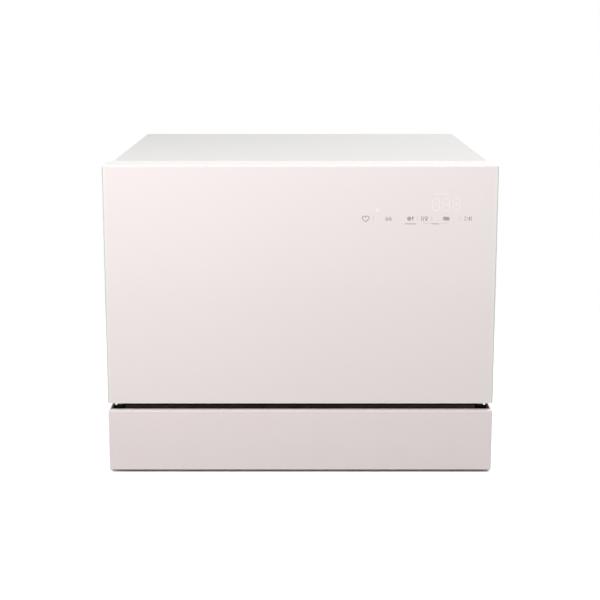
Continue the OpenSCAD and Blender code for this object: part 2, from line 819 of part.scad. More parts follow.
// Bush that the mains lead would pass through
module cord_gland() {
    flange = 4;
    color([0.1, 0.1, 0.1]) from_front() translate([gland_x, wall_y, port_z]) difference() {
        union() {
            translate([0, seat, 0]) rod_y(gland_neck_r + flange, 8);
            translate([0, -8, 0]) rod_y(gland_neck_r, 10);
        }
        translate([0, -9, 0]) rod_y(gland_hole_r, 24);
    }
}

module control_box() {
    color([0.8, 0.8, 0.78]) from_front() difference() {
        block_z(box_x1 - box_w, box_x1, foot_front_y + cut, hub_y - 64, tray_floor_top,
                tray_floor_top + box_h, 4);
        box_between([box_x1 - box_w + 6, foot_front_y + 7, tray_floor_top + box_h - box_t],
                    [box_x1 - 6, hub_y - 70, tray_floor_top + box_h + cut]);
    }
}

// Foam float on a post of the base, and the switch that it lifts
module leak_float() {
    color([0.95, 0.95, 0.93]) from_front() translate([float_x, float_y, tray_floor_top + seat]) difference() {
        cylinder(r = float_r, h = 10);
        translate([0, 0, -cut]) cylinder(r = float_post_r + running, h = 14);
    }
}

module float_switch() {
    color([0.12, 0.12, 0.13]) from_front() {
        x0 = float_x + float_r + 4;
        top = tray_floor_top + 39.5;
        box_between([x0, float_y - 10, tray_floor_top], [x0 + 10, float_y + 10, top]);
        box_between([x0 - 16, float_y - 8, top - 14], [x0 + 4, float_y + 8, top]);
    }
}

// Tongue on the tub's rim that reaches into the door, under the pawl
module latch_strike() {
    y1 = rim_y - seam;
    z1 = pawl_z - seat;
    color([0.7, 0.7, 0.72]) from_front() {
        box_between([-strike_half, y1 - strike_t, tub_top + gasket_w + 1], [strike_half, y1, rim_top - 1]);
        box_between([-tongue_half, pawl_y + 12, z1 - 1.6], [tongue_half, y1 - 0.5, z1]);
    }
}

// A flat arm with tapered blades and spray slots, turning on a hub
module spray_arm(r, z, h, hub_h, up) {
    difference() {
        union() {
            translate([0, 0, z]) cylinder(r = hub_r + 8, h = hub_h);
            for (a = [0, 180]) rotate([0, 0, a]) {
                translate([0, 0, up ? z + hub_h - h : z]) linear_extrude(h) {
                    polygon([[0, -22], [r - 16, -15], [r - 16, 15], [0, 22]]);
                    translate([r - 16, 0]) circle(r = 15);
                }
            }
        }
        translate([0, 0, up ? z - cut : z + 3]) cylinder(r = hub_r + running, h = hub_h - 2);
        for (a = [0, 180], x = spread(44, r - 24, 24)) {
            rotate([0, 0, a]) translate([x - 1.5, -6, up ? z + hub_h - 2 : z - 1]) cube([3, 12, 3]);
        }
    }
}

module lower_spray_arm() {
    color([0.55, 0.57, 0.6]) from_front() translate([0, hub_y, 0]) {
        spray_arm(lower_arm_r, lower_arm_z, 9, 18, true);
    }
}

module upper_spray_arm() {
    color([0.55, 0.57, 0.6]) from_front() translate([0, hub_y, 0]) {
        spray_arm(upper_arm_r, upper_arm_z - 2, 8, 14, false);
    }
}

// The door's side outline: upright, with a lower inner edge round about the hinge line
module door_block(x0, x1, y0, inset, top) {
    difference() {
        box_between([x0, y0, door_bottom + inset], [x1, door_t - inset, top]);
        difference() {
            box_between([x0 - cut, hinge_y, door_bottom - cut], [x1 + cut, door_t + cut, hinge_z]);
            translate([x0 - 2 * cut, hinge_y, hinge_z]) rod_x(lip_r - inset, x1 - x0 + 4 * cut, 96);
        }
    }
}

// Opening for one hinge arm, from the door's inner face round to its lower edge
module arm_opening(margin) {
    w = arm_slot / 2 + margin;
    both_sides() {
        box_between([arm_mid - w, hinge_y - arm_half_h - arm_gap - margin, door_bottom - 5],
                    [arm_mid + w, door_t + 5, hinge_z + arm_half_h + arm_gap + margin]);
    }
}

// White shell behind the glass: a front skin with top, bottom and side walls
module door_shell() {
    skin_t = 1.2;
    color([0.93, 0.92, 0.92]) from_front() difference() {
        door_block(-half_w, half_w, shell_front, 0, body_h);
        difference() {
            door_block(-half_w + shell_t, half_w - shell_t, shell_front + skin_t, shell_t, body_h - shell_t);
            box_between([-half_w, track_y - 3, door_bottom - cut],
                        [half_w, door_t + cut, door_bottom + shell_t]);
        }
        box_between([-half_w + shell_t, door_t - shell_t - cut, hinge_z - 1],
                    [half_w - shell_t, door_t + cut, body_h - shell_t]);
        difference() {
            box_between([-half_w + shell_t, hinge_y, door_bottom - cut],
                        [half_w - shell_t, door_t + cut, hinge_z]);
            box_between([-half_w, 0, door_bottom - cut], [half_w, track_y - 3, door_bottom + shell_t]);
        }
        arm_opening(0);
    }
}

module door_glass() {
    color([0.95, 0.93, 0.93]) from_front() {
        block_y(-half_w, half_w, glass_front, glass_back, door_bottom + 0.4, body_h - 0.4, 2);
    }
}

// Steel inner face: flat rim, round lower lip, a recess and two tracks for the rack's wheels
module door_liner() {
    x1 = half_w - shell_t - 0.2;
    recess_half = tub_half - 1;
    recess_z0 = hinge_z + 3;
    recess_z1 = body_h - 44;
    track_x0 = rack_half - wire_d - 2;
    color([0.78, 0.79, 0.8]) from_front() difference() {
        union() {
            difference() {
                door_block(-x1, x1, track_y - 1, 0, body_h - shell_t - 0.2);
                door_block(-x1 - cut, x1 + cut, track_y - 2, liner_t, body_h - shell_t + 2);
            }
            box_between([-recess_half - liner_t, track_y - liner_t, recess_z0 - liner_t],
                        [recess_half + liner_t, door_t - 0.2, recess_z1 + liner_t]);
            both_sides() box_between([track_x0 - liner_t, track_y - liner_t, door_bottom + shell_t + 0.2],
                                     [recess_half + liner_t, track_y + 3, recess_z0]);
            both_sides() difference() {
                door_block(track_x0 - liner_t, recess_half + liner_t, track_y - liner_t, 0, recess_z0);
                box_between([0, 0, 0], [half_w, door_t, door_bottom + shell_t + 0.2]);
            }
        }
        box_between([-recess_half, track_y, recess_z0], [recess_half, door_t + cut, recess_z1]);
        both_sides() box_between([track_x0, track_y, door_bottom - cut],
                                 [recess_half, door_t + cut, recess_z0 + cut]);
        arm_opening(0);
        box_between([-pawl_w / 2 - 3, door_t - 3, pawl_z - 6],
                    [pawl_w / 2 + 3, door_t + cut, pawl_z + pawl_t + 8]);
        box_between([disp_x0 + 4, track_y - 2, disp_z0 + 4],
                    [disp_x1 - 4, track_y + cut, disp_z0 + disp_h - 4]);
    }
}

// Circuit board behind the glass, with a sensing pad under each touch field
module touch_board() {
    y0 = shell_front + 1.2;
    pads_from_side = [38, 69, 100, 120, 151, 182.5];
    color([0.1, 0.35, 0.2]) from_front() {
        box_between([half_w - 193, y0, body_h - 92], [half_w - 27, y0 + 1.6, body_h - 34]);
        for (d = pads_from_side) translate([half_w - d, y0 + 1.5, body_h - 74]) rod_y(4, 2.5, 24);
    }
}

module display_module() {
    y0 = shell_front + 2.8;
    color([0.08, 0.08, 0.09]) from_front() {
        box_between([half_w - 91, y0, body_h - 66], [half_w - 47, y0 + 8, body_h - 42]);
    }
}

// Body let into the door's inner face: detergent cup, rinse aid tank and the release's guide
module dispenser_body() {
    color([0.82, 0.83, 0.85]) from_front() difference() {
        union() {
            block_y(disp_x0 + 5, disp_x1 - 5, disp_face - disp_depth, track_y + 0.5, disp_z0 + 5,
                    disp_z0 + disp_h - 5, 3);
            block_y(disp_x0, disp_x1, track_y + 0.1, disp_face, disp_z0, disp_z0 + disp_h, 6);
        }
        block_y(cup_x0, cup_x0 + cup_w, disp_face - cup_deep, disp_face + cut, cup_z0, cup_z0 + cup_h, 6);
        translate([rinse_x, disp_face - 20, rinse_z]) rod_y(rinse_r - 5, 30);
        translate([release_x, disp_face - 9, release_z]) rod_y(4 + running, 20);
    }
}

// Lid that slides sideways off the detergent cup
module dispenser_lid() {
    x0 = cup_x0 - (lid_w - cup_w) / 2;
    z0 = cup_z0 - (lid_h - cup_h) / 2;
    color([0.75, 0.77, 0.8]) from_front() {
        block_y(x0, x0 + lid_w, disp_face + seat, disp_face + seat + lid_t, z0, z0 + lid_h, 6);
        box_between([x0 + lid_w - 12, disp_face + seat + lid_t - 0.5, z0 + 16],
                    [x0 + lid_w - 8, disp_face + seat + lid_t + 3, z0 + lid_h - 16]);
    }
}

module dispenser_release() {
    color([0.6, 0.62, 0.66]) from_front() translate([release_x, 0, release_z]) {
        translate([0, disp_face - 5, 0]) rod_y(4, 10);
    }
}

module rinse_cap() {
    color([0.3, 0.45, 0.65]) from_front() translate([rinse_x, 0, rinse_z]) {
        translate([0, disp_face + seat, 0]) rod_y(rinse_r, 2.6);
        translate([0, disp_face - 8, 0]) rod_y(rinse_r - 5 - running, 9);
        translate([-rinse_r + 4, disp_face + 2, -2]) cube([2 * rinse_r - 8, 5, 4]);
    }
}

// Guide for the latch pawl, behind the door's upper edge
module latch_case() {
    color([0.85, 0.85, 0.86]) from_front() difference() {
        box_between([-latch_half, 20, latch_z0], [latch_half, door_t - liner_t - 0.2, latch_z1]);
        box_between([-pawl_w / 2 - 1, 23, pawl_z - 7], [pawl_w / 2 + 1, door_t, latch_z1 + cut]);
        translate([-latch_half - cut, pawl_y, pawl_z + pawl_t / 2]) rod_x(2.5, 2 * latch_half + 2 * cut);
    }
    color([0.7, 0.7, 0.72]) from_front() {
        translate([-latch_half + 2, pawl_y, pawl_z + pawl_t / 2]) rod_x(2.5, 2 * latch_half - 4);
    }
}

// Sprung nose that rides over the strike as the door closes
module latch_pawl() {
    color([0.9, 0.9, 0.88]) from_front() difference() {
        union() {
            box_between([-pawl_w / 2, pawl_y, pawl_z], [pawl_w / 2, pawl_tip, pawl_z + pawl_t]);
            translate([-pawl_w / 2, pawl_y, pawl_z + pawl_t / 2]) rod_x(5, pawl_w);
        }
        translate([-pawl_w, pawl_y, pawl_z + pawl_t / 2]) rod_x(2.5 + running, 2 * pawl_w);
    }
}

// Cheeks in the door's lower corners that turn on the hinge pins
module hinge_housings() {
    x0 = arm_mid - arm_slot / 2 - 5.5;
    color([0.5, 0.5, 0.52]) from_front() both_sides() difference() {
        box_between([x0, shell_front + 1.3, door_bottom + shell_t + 0.1],
                    [half_w - shell_t - 0.1, track_y - 4, hinge_z + arm_half_h + 8]);
        arm_opening(0);
        translate([x0 - cut, hinge_y, hinge_z]) rod_x(pin_r + running, 40);
    }
}

// Closed coils round the pins' inner ends that balance the door
module hinge_springs() {
    x0 = arm_mid - arm_slot / 2 - 24.5;
    coils = 6;
    pitch = 2.6;
    color([0.45, 0.45, 0.47]) from_front() both_sides() translate([x0, hinge_y, hinge_z]) {
        for (i = [0 : coils - 1]) translate([i * pitch, 0, 0]) difference() {
            rod_x(8.4, pitch - 0.3, 32);
            translate([-cut, 0, 0]) rod_x(6, pitch + 2 * cut, 32);
        }
        difference() {
            rod_x(7.8, coils * pitch - 0.3, 32);
            translate([-cut, 0, 0]) rod_x(6, coils * pitch + 2 * cut, 32);
        }
        box_between([pitch * coils - 2.6, 5, -1],
                    [pitch * coils - 0.3, track_y - hinge_y - liner_t - seat, 1]);
    }
}

// Rack floor: lengthwise wires resting in crosswise wires
module rack_floor() {
    color([0.35, 0.37, 0.4]) from_front() {
        for (y = spread(rack_front_y + wire_r, rack_back_y - wire_r, 44)) {
            translate([0, y, rack_z]) wire_x(-rack_half + wire_r, rack_half - wire_r);
        }
        for (x = spread(-rack_half + wire_r + weld, rack_half - wire_r - weld, rack_pitch)) {
            translate([x, 0, deck_z]) wire_y(rack_front_y, rack_back_y);
        }
    }
}

// A wall of upright wires with two or more level wires, in the XZ plane at a depth y
module wall_x(y, inner, top) {
    ends = rack_half - wire_r;
    for (x = spread(-ends, ends, rack_pitch * 1.5)) translate([x, y, 0]) wire_z(rack_z - wire_r, top);
    for (z = [top - wire_r, (deck_top + top) / 2]) {
        translate([0, y + inner * weld, z]) wire_x(-rack_half, rack_half);
    }
}

// The low front wall and the back wall of the rack
module rack_ends() {
    color([0.35, 0.37, 0.4]) from_front() {
        wall_x(rack_front_y + wire_r, 1, deck_top + rack_front_h);
        wall_x(rack_back_y - wire_r, -1, rack_rim_z);
    }
}

module rack_sides() {
    y0 = rack_front_y + wire_d + 0.2;
    y1 = rack_back_y - 2 * wire_d;
    color([0.35, 0.37, 0.4]) from_front() both_sides() {
        for (y = spread(y0 + wire_r + 6, y1 - wire_r - 6, rack_pitch * 1.6)) {
            translate([rack_half - wire_r, y, 0]) wire_z(rack_z - wire_r, rack_rim_z);
        }
        for (z = [rack_rim_z - wire_r, (deck_top + rack_rim_z) / 2]) {
            translate([rack_half - wire_r - weld, 0, z]) wire_y(y0, y1);
        }
        for (y = [front_wheel_y, rear_wheel_y]) {
            translate([rack_half - wire_d, y, wheel_z])
                rod_x(axle_r, wheel_x + wheel_w / 2 - rack_half + wire_d - 0.6, 32);
            box_between([rack_half - wire_d, y - 7, wheel_z - 6], [rack_half - 0.6, y + 7, rack_z + 14]);
            translate([rack_half - wire_r, y, 0]) wire_z(rack_z + 10, rack_rim_z);
        }
    }
}

module tine_row(y, z0) {
    translate([0, y, z0]) wire_x(tine_x0 - 4, tine_x1 + 4);
    for (x = spread(tine_x0, tine_x1, tine_pitch)) {
        translate([x, y + weld, 0]) wire_z(z0 - wire_r, z0 + tine_h);
    }
}

module plate_tines() {
    color([0.35, 0.37, 0.4]) from_front() tine_row(fixed_tine_y, deck_top + wire_r - 0.3);
}

module folding_tines() {
    color([0.35, 0.37, 0.4]) from_front() tine_row(fold_tine_y, deck_top + wire_r + seat);
}

// Wire shelf that rests level on the rack's left wall and folds up against it
module cup_shelf(y0) {
    x0 = -rack_half + 2 * wire_d;
    color([0.35, 0.37, 0.4]) from_front() {
        for (x = spread(x0, x0 + shelf_w, 28)) translate([x, 0, shelf_z]) wire_y(y0, y0 + shelf_l);
        for (y = [y0 + wire_r + 4, y0 + shelf_l / 2, y0 + shelf_l - wire_r - 4]) {
            translate([0, y, shelf_z - weld]) wire_x(x0 - wire_r, x0 + shelf_w + wire_r);
        }
    }
}

module cup_shelf_front() {
    cup_shelf(rack_front_y + 12);
}

module cup_shelf_rear() {
    cup_shelf(rack_front_y + 12 + shelf_l + shelf_gap);
}

// Open-topped basket with slatted walls and three cells
module cutlery_basket() {
    x0 = basket_x - basket_w / 2;
    y0 = basket_y0;
    t = 2.4;
    color([0.5, 0.52, 0.55]) from_front() difference() {
        box_between([x0, y0, basket_z], [x0 + basket_w, y0 + basket_l, basket_z + basket_h]);
        for (i = [0 : 2]) {
            cell = (basket_l - 4 * t) / 3;
            box_between([x0 + t, y0 + t + i * (cell + t), basket_z + t],
                        [x0 + basket_w - t, y0 + t + i * (cell + t) + cell, basket_z + basket_h + cut]);
        }
        for (y = spread(y0 + 10, y0 + basket_l - 16, 14), z = [0, 1, 2]) {
            translate([x0 - cut, y, basket_z + 10 + 30 * z]) cube([basket_w + 2 * cut, 6, 22]);
        }
    }
}

module wheel_pair(y) {
    color([0.45, 0.47, 0.5]) from_front() both_sides() {
        translate([wheel_x - wheel_w / 2, y, wheel_z]) difference() {
            rod_x(wheel_r, wheel_w);
            translate([-cut, 0, 0]) rod_x(axle_r + running, wheel_w + 2 * cut);
            for (a = [0 : 72 : 288]) rotate([a, 0, 0]) {
                translate([-cut, (axle_r + wheel_r) / 2, 0]) rod_x(2.6, wheel_w + 2 * cut, 24);
            }
        }
    }
}

module front_wheels() {
    wheel_pair(front_wheel_y);
}

module rear_wheels() {
    wheel_pair(rear_wheel_y);
}

cabinet_wrap();
rear_panel();
rear_screws();
base_tray();
connection_plate();
rubber_feet();
toe_panel();
front_brace();
hinge_arms();
hinge_pins();
tub();
tub_bottom();
tub_frame();
door_seals();
insulation_blanket();
rack_rails();
sump();
filter_plate();
spray_riser();
circulation_pump();
pump_motor();
drain_pump();
flow_heater();
water_softener();
air_break();
inlet_valve();
drain_spigot();
cord_gland();
control_box();
float_switch();
latch_strike();
lower_spray_arm();
upper_spray_arm();
filter_cup();
salt_cap();
pump_rotor();
leak_float();
door_shell();
door_glass();
door_liner();
touch_board();
display_module();
dispenser_body();
latch_case();
hinge_housings();
hinge_springs();
dispenser_lid();
dispenser_release();
rinse_cap();
latch_pawl();
rack_floor();
rack_ends();
rack_sides();
plate_tines();
folding_tines();
cup_shelf_front();
cup_shelf_rear();
cutlery_basket();
front_wheels();
rear_wheels();
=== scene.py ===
"""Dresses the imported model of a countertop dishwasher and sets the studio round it.

Metres throughout, unless a name or docstring says mm. X is the width, Y the depth with the
door facing -Y, Z is up.
"""

import logging
import math
from dataclasses import dataclass, field
from enum import Enum
from typing import Callable, Iterable, Sequence, Union

import bmesh
import bpy
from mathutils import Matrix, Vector


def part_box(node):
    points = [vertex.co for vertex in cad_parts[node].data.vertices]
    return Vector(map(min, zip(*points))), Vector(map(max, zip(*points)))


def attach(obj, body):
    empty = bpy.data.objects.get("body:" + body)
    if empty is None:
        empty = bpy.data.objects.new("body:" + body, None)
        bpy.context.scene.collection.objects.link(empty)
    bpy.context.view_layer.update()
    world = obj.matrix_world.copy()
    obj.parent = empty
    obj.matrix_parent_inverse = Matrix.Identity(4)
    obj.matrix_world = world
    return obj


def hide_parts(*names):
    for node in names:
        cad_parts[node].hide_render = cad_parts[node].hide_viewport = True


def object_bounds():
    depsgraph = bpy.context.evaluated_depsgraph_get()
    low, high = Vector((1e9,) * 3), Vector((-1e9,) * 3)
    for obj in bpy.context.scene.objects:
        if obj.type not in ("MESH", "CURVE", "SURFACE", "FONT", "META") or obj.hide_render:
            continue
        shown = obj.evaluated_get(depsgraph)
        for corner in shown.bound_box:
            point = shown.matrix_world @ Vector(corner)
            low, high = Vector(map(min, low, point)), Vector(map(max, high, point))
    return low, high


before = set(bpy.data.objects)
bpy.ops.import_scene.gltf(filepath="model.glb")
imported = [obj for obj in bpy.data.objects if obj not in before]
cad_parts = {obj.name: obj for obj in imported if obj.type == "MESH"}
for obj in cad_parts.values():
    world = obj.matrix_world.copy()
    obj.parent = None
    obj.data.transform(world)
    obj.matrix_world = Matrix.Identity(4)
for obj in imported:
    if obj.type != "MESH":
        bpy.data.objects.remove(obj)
CAD_BOX = [list(corner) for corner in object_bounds()]

log = logging.getLogger("dishwasher")

MM = 0.001
FRAME_PX = 600
CABINET, DOOR, RACK = "cabinet", "door", "rack"

WELD_DIST = 0.002 * MM
SAME_PLACE = 0.02 * MM
FLAT_DEG = 0.3
SMOOTH_DEG = 32.0
TURNED_SMOOTH_DEG = 40.0
TRIM_SMOOTH_DEG = 50.0
BEVEL_DEG = 38.0
ROLL_DEG = 45.0
CORNER_STEPS = 6
ROLL_STEPS = 4
WIRE_SIDES = 12
BALL_SEGMENTS, BALL_RINGS = 10, 6
STAMP_SEED = 11

Point = tuple[float, float, float]
Flat = tuple[float, float]
Path = list[Flat]
Colour = tuple[float, float, float]


def linear(value: float) -> float:
    """Linear value of one display value from 0 to 1."""
    return value / 12.92 if value <= 0.04045 else ((value + 0.055) / 1.055) ** 2.4


def srgb(red: int, green: int, blue: int) -> Colour:
    """Linear colour of three display values from 0 to 255."""
    return (linear(red / 255), linear(green / 255), linear(blue / 255))


def scaled(colour: Colour, share: float) -> Colour:
    """The colour times share, held at 1."""
    return tuple(min(1.0, part * share) for part in colour)


def add_node(tree: bpy.types.NodeTree, kind: str, settings: dict, values: dict) -> bpy.types.Node:
    """Adds one node to a tree.

    Args:
        tree: a shader, world or geometry tree.
        kind: the node's type.
        settings: the node's properties, set before its sockets.
        values: what each input, by name or index, is set to or linked from.

    Returns:
        The new node.
    """
    node = tree.nodes.new(kind)
    for key, value in settings.items():
        setattr(node, key, value)
    for key, value in values.items():
        if isinstance(value, bpy.types.NodeSocket):
            tree.links.new(value, node.inputs[key])
        else:
            node.inputs[key].default_value = value
    return node


# ---- shader maths ---------------------------------------------------------------------------

Value = Union["Socket", float]
Paint = Union["Socket", Colour]


class Socket:
    """A shader socket that takes part in Python arithmetic by adding Math nodes."""

    def __init__(self, tree: "Shader", link: bpy.types.NodeSocket) -> None:
        """Wraps link, a socket of tree's own nodes."""
        self.tree = tree
        self.link = link

    def _math(self, operation: str, *values: Value) -> "Socket":
        """One Math node."""
        return self.tree.add("ShaderNodeMath", {"operation": operation}, dict(enumerate(values)))

    def __add__(self, other: Value) -> "Socket":
        """Sum."""
        return self._math("ADD", self, other)

    def __sub__(self, other: Value) -> "Socket":
        """Difference."""
        return self._math("SUBTRACT", self, other)

    def __rsub__(self, other: Value) -> "Socket":
        """Difference from a number."""
        return self._math("SUBTRACT", other, self)

    def __mul__(self, other: Value) -> "Socket":
        """Product."""
        return self._math("MULTIPLY", self, other)

    def __abs__(self) -> "Socket":
        """Size without sign."""
        return self._math("ABSOLUTE", self)

    def __pow__(self, other: Value) -> "Socket":
        """Power."""
        return self._math("POWER", self, other)

    __radd__ = __add__
    __rmul__ = __mul__

    def rise(self, low: float, high: float) -> "Socket":
        """Smooth step from 0 at low to 1 at high."""
        return self.tree.add("ShaderNodeMapRange", {"interpolation_type": "SMOOTHSTEP"},
                             {"Value": self, "From Min": low, "From Max": high})


class Shader:
    """A material's node tree round one Principled shader."""

    def __init__(self, name: str) -> None:
        """Starts a material with the place on the object as its sockets place, x, y and z.

        Args:
            name: the material's name.
        """
        self.material = bpy.data.materials.new(name)
        self.material.use_nodes = True
        self.tree = self.material.node_tree
        self.surface = next(n for n in self.tree.nodes if n.type == "BSDF_PRINCIPLED")
        self.place = self.add("ShaderNodeTexCoord", {}, {}, "Object")
        self.x, self.y, self.z = (self.add("ShaderNodeSeparateXYZ", {}, {0: self.place}, axis)
                                  for axis in "XYZ")

    def add(self, kind: str, settings: dict, values: dict, out: Union[int, str] = 0) -> Socket:
        """Adds one node.

        Args:
            kind: the node's type.
            settings: properties, set before the sockets.
            values: input values or sockets, by name or index.
            out: index or name of the output that is returned.

        Returns:
            The wrapped output.
        """
        plain = {key: value.link if isinstance(value, Socket) else value
                 for key, value in values.items()}
        return Socket(self, add_node(self.tree, kind, settings, plain).outputs[out])

    def noise(self, cells: Union[float, Point], detail: float = 3.0, shift: float = 0.0) -> Socket:
        """Noise over the object.

        Args:
            cells: cells a metre, for all axes or for each.
            detail: how many finer layers it has.
            shift: where in the noise it starts, in cells along each axis.

        Returns:
            A socket that runs from 0 to 1.
        """
        scale = cells if isinstance(cells, tuple) else (cells,) * 3
        spot = self.add("ShaderNodeMapping", {},
                        {"Vector": self.place, "Scale": scale, "Location": (shift,) * 3})
        return self.add("ShaderNodeTexNoise", {}, {"Vector": spot, "Scale": 1.0, "Detail": detail})

    def blend(self, mask: Value, low: Paint, high: Paint) -> Socket:
        """Mixes two colours, low where mask is 0 and high where it is 1."""
        low, high = (c if isinstance(c, Socket) else (*c, 1.0) for c in (low, high))
        return self.add("ShaderNodeMix", {"data_type": "RGBA"}, {0: mask, 6: low, 7: high}, 2)

    def feed(self, **sockets: Union[float, Paint]) -> None:
        """Sets or links the Principled shader's inputs.

        Args:
            sockets: values or sockets by input name, with underscores for spaces.
        """
        for name, value in sockets.items():
            target = self.surface.inputs[name.replace("_", " ")]
            if isinstance(value, Socket):
                self.tree.links.new(value.link, target)
            else:
                target.default_value = (*value, 1.0) if isinstance(value, tuple) else value

    def bump(self, height: Socket, depth: float) -> None:
        """Bumps the surface by height, from 0 to 1, times depth in metres."""
        self.feed(Normal=self.add("ShaderNodeBump", {},
                                  {"Height": height, "Distance": depth, "Strength": 1.0}))


# ---- finishes -------------------------------------------------------------------------------

@dataclass(frozen=True)
class Finish:
    """One finish of the machine, made into a material once."""

    name: str
    slot: str
    colour: Colour

    def paint(self, s: Shader) -> None:
        """Fills in the shader."""
        s.feed(Base_Color=self.colour)

    def material(self) -> bpy.types.Material:
        """Makes the finish's material at its first use, and finds it again later.

        Returns:
            The material.
        """
        if self.name in bpy.data.materials:
            return bpy.data.materials[self.name]
        shader = Shader(self.name)
        self.paint(shader)
        return shader.material


@dataclass(frozen=True)
class PaintedSheet(Finish):
    """Baked enamel on steel, with a faint orange peel and a little dust in the sheen."""

    roughness: float = 0.34
    peel_cells: float = 520.0
    peel_depth: float = 0.012 * MM
    cloud_cells: float = 9.0

    def paint(self, s: Shader) -> None:
        """Even colour, mottled gloss and a fine peel.

        Args:
            s: the finish's shader.
        """
        peel = s.noise(self.peel_cells, 2.0)
        cloud = s.noise(self.cloud_cells, 3.0, 4.0)
        s.feed(Base_Color=s.blend(cloud.rise(0.35, 0.7), self.colour, scaled(self.colour, 0.985)),
               Roughness=self.roughness + cloud * 0.06, Coat_Weight=0.12, Coat_Roughness=0.16)
        s.bump(peel, self.peel_depth)


@dataclass(frozen=True)
class BackPaintedGlass(Finish):
    """Clear glass over white paint, grey at the cut sides, with a painted highlight along the
    foot.
    """

    cut: Colour = srgb(206, 206, 202)
    clear: Colour = srgb(240, 239, 233)
    # Colour of the painted highlight along the glass's lower edge.
    foot: Colour = srgb(252, 247, 246)
    half_w: float = 0.275
    low: float = 0.1034
    clear_band: Flat = (1.5 * MM, 7.0 * MM)
    foot_highlight_band: Flat = (0.9 * MM, 1.5 * MM)
    cut_band: Flat = (1.0 * MM, 1.8 * MM)

    def paint(self, s: Shader) -> None:
        """White paint seen through the glass, with two border tints and a painted highlight along
        its foot.

        Args:
            s: the finish's shader.
        """
        inward = self.half_w - abs(s.x)
        cloud = s.noise(3.0, 1.0, 2.0).rise(0.3, 0.75)
        base = s.blend(cloud, self.colour, scaled(self.colour, 0.99))
        clear = s.blend(1.0 - inward.rise(*self.clear_band), base, self.clear)
        # The paler band along the lower edge is a painted highlight.
        foot = s.blend(1.0 - (s.z - self.low).rise(*self.foot_highlight_band), clear, self.foot)
        smear = s.noise((14.0, 14.0, 34.0), 3.0, 7.0).rise(0.55, 0.8)
        s.feed(Base_Color=s.blend(1.0 - inward.rise(*self.cut_band), foot, self.cut),
               Roughness=0.13 + smear * 0.04, Coat_Weight=0.5, Coat_Roughness=0.05, IOR=1.45)


@dataclass(frozen=True)
class Moulded(Finish):
    """Injection-moulded plastic with a spark-eroded grain."""

    roughness: float = 0.45
    grain: float = 1600.0
    depth: float = 0.01 * MM
    wear: float = 0.04
    flow_cells: float = 22.0

    def paint(self, s: Shader) -> None:
        """Colour with a slight flow mottling, and a grained surface.

        Args:
            s: the finish's shader.
        """
        grain = s.noise(self.grain, 2.0)
        flow = s.noise(self.flow_cells, 3.0, 5.0).rise(0.3, 0.75)
        s.feed(Base_Color=s.blend(flow, self.colour, scaled(self.colour, 1 - self.wear)),
               Roughness=self.roughness + grain * 0.08)
        s.bump(grain, self.depth)


class Lay(Enum):
    """Cells a metre of the brush marks: fine across two axes, long on the third."""

    ALONG_X = (6.0, 2400.0, 2400.0)
    ALONG_Z = (2400.0, 2400.0, 6.0)
    NONE = (60.0, 60.0, 60.0)


@dataclass(frozen=True)
class SheetMetal(Finish):
    """Rolled or brushed metal, with marks along its lay and faint water marks."""

    lay: Lay = Lay.ALONG_X
    roughness: float = 0.3
    metallic: float = 1.0
    mark_cells: float = 26.0
    depth: float = 0.006 * MM

    def paint(self, s: Shader) -> None:
        """Brushed gloss, long streaks and cloudy tint.

        Args:
            s: the finish's shader.
        """
        brush = s.noise(self.lay.value, 2.0)
        marks = s.noise(self.mark_cells, 4.0, 3.0).rise(0.5, 0.72)
        s.feed(Base_Color=s.blend(brush, scaled(self.colour, 0.93), self.colour),
               Metallic=self.metallic, Roughness=self.roughness + brush * 0.1 + marks * 0.05)
        s.bump(brush, self.depth)


@dataclass(frozen=True)
class Galvanised(Finish):
    """Zinc-coated sheet with large dull spangles."""

    spangle_cells: float = 130.0
    fine_cells: float = 700.0
    depth: float = 0.006 * MM

    def paint(self, s: Shader) -> None:
        """Voronoi spangle in colour and gloss.

        Args:
            s: the finish's shader.
        """
        spot = s.add("ShaderNodeTexVoronoi", {"feature": "F1"},
                     {"Vector": s.place, "Scale": self.spangle_cells}, 1)
        grey = s.add("ShaderNodeRGBToBW", {}, {0: spot})
        s.feed(Base_Color=s.blend(grey, scaled(self.colour, 0.86), self.colour),
               Metallic=0.85, Roughness=0.42 + grey * 0.12)
        s.bump(s.noise(self.fine_cells, 2.0), self.depth)


@dataclass(frozen=True)
class Rubber(Finish):
    """Soft rubber with a powdery bloom."""

    bloom_cells: float = 45.0
    fine_cells: float = 1300.0
    depth: float = 0.01 * MM

    def paint(self, s: Shader) -> None:
        """Matt, slightly paler in patches.

        Args:
            s: the finish's shader.
        """
        bloom = s.noise(self.bloom_cells, 4.0).rise(0.45, 0.75)
        fine = s.noise(self.fine_cells, 2.0, 2.0)
        s.feed(Base_Color=s.blend(bloom, self.colour, scaled(self.colour, 1.35)),
               Roughness=0.62 + fine * 0.15, Specular_IOR_Level=0.3)
        s.bump(fine, self.depth)


@dataclass(frozen=True)
class Felt(Finish):
    """Bitumen-backed felt."""

    fibre_cells: Point = (900.0, 900.0, 260.0)
    depth: float = 0.2 * MM

    def paint(self, s: Shader) -> None:
        """Tangled fibres in colour and height.

        Args:
            s: the finish's shader.
        """
        fibre = s.noise(self.fibre_cells, 6.0)
        s.feed(Base_Color=s.blend(fibre, scaled(self.colour, 0.6), self.colour),
               Roughness=0.95, Sheen_Weight=0.3)
        s.bump(fibre, self.depth)


@dataclass(frozen=True)
class Circuit(Finish):
    """Solder mask with copper tracks under it."""

    track_cells: float = 160.0
    depth: float = 0.03 * MM

    def paint(self, s: Shader) -> None:
        """Tracks from the borders of a Voronoi pattern.

        Args:
            s: the finish's shader.
        """
        lines = s.add("ShaderNodeTexVoronoi", {"feature": "DISTANCE_TO_EDGE"},
                      {"Vector": s.place, "Scale": self.track_cells})
        track = lines.rise(0.03, 0.07)
        s.feed(Base_Color=s.blend(track, scaled(self.colour, 2.2), self.colour), Roughness=0.35)
        s.bump(track, self.depth)


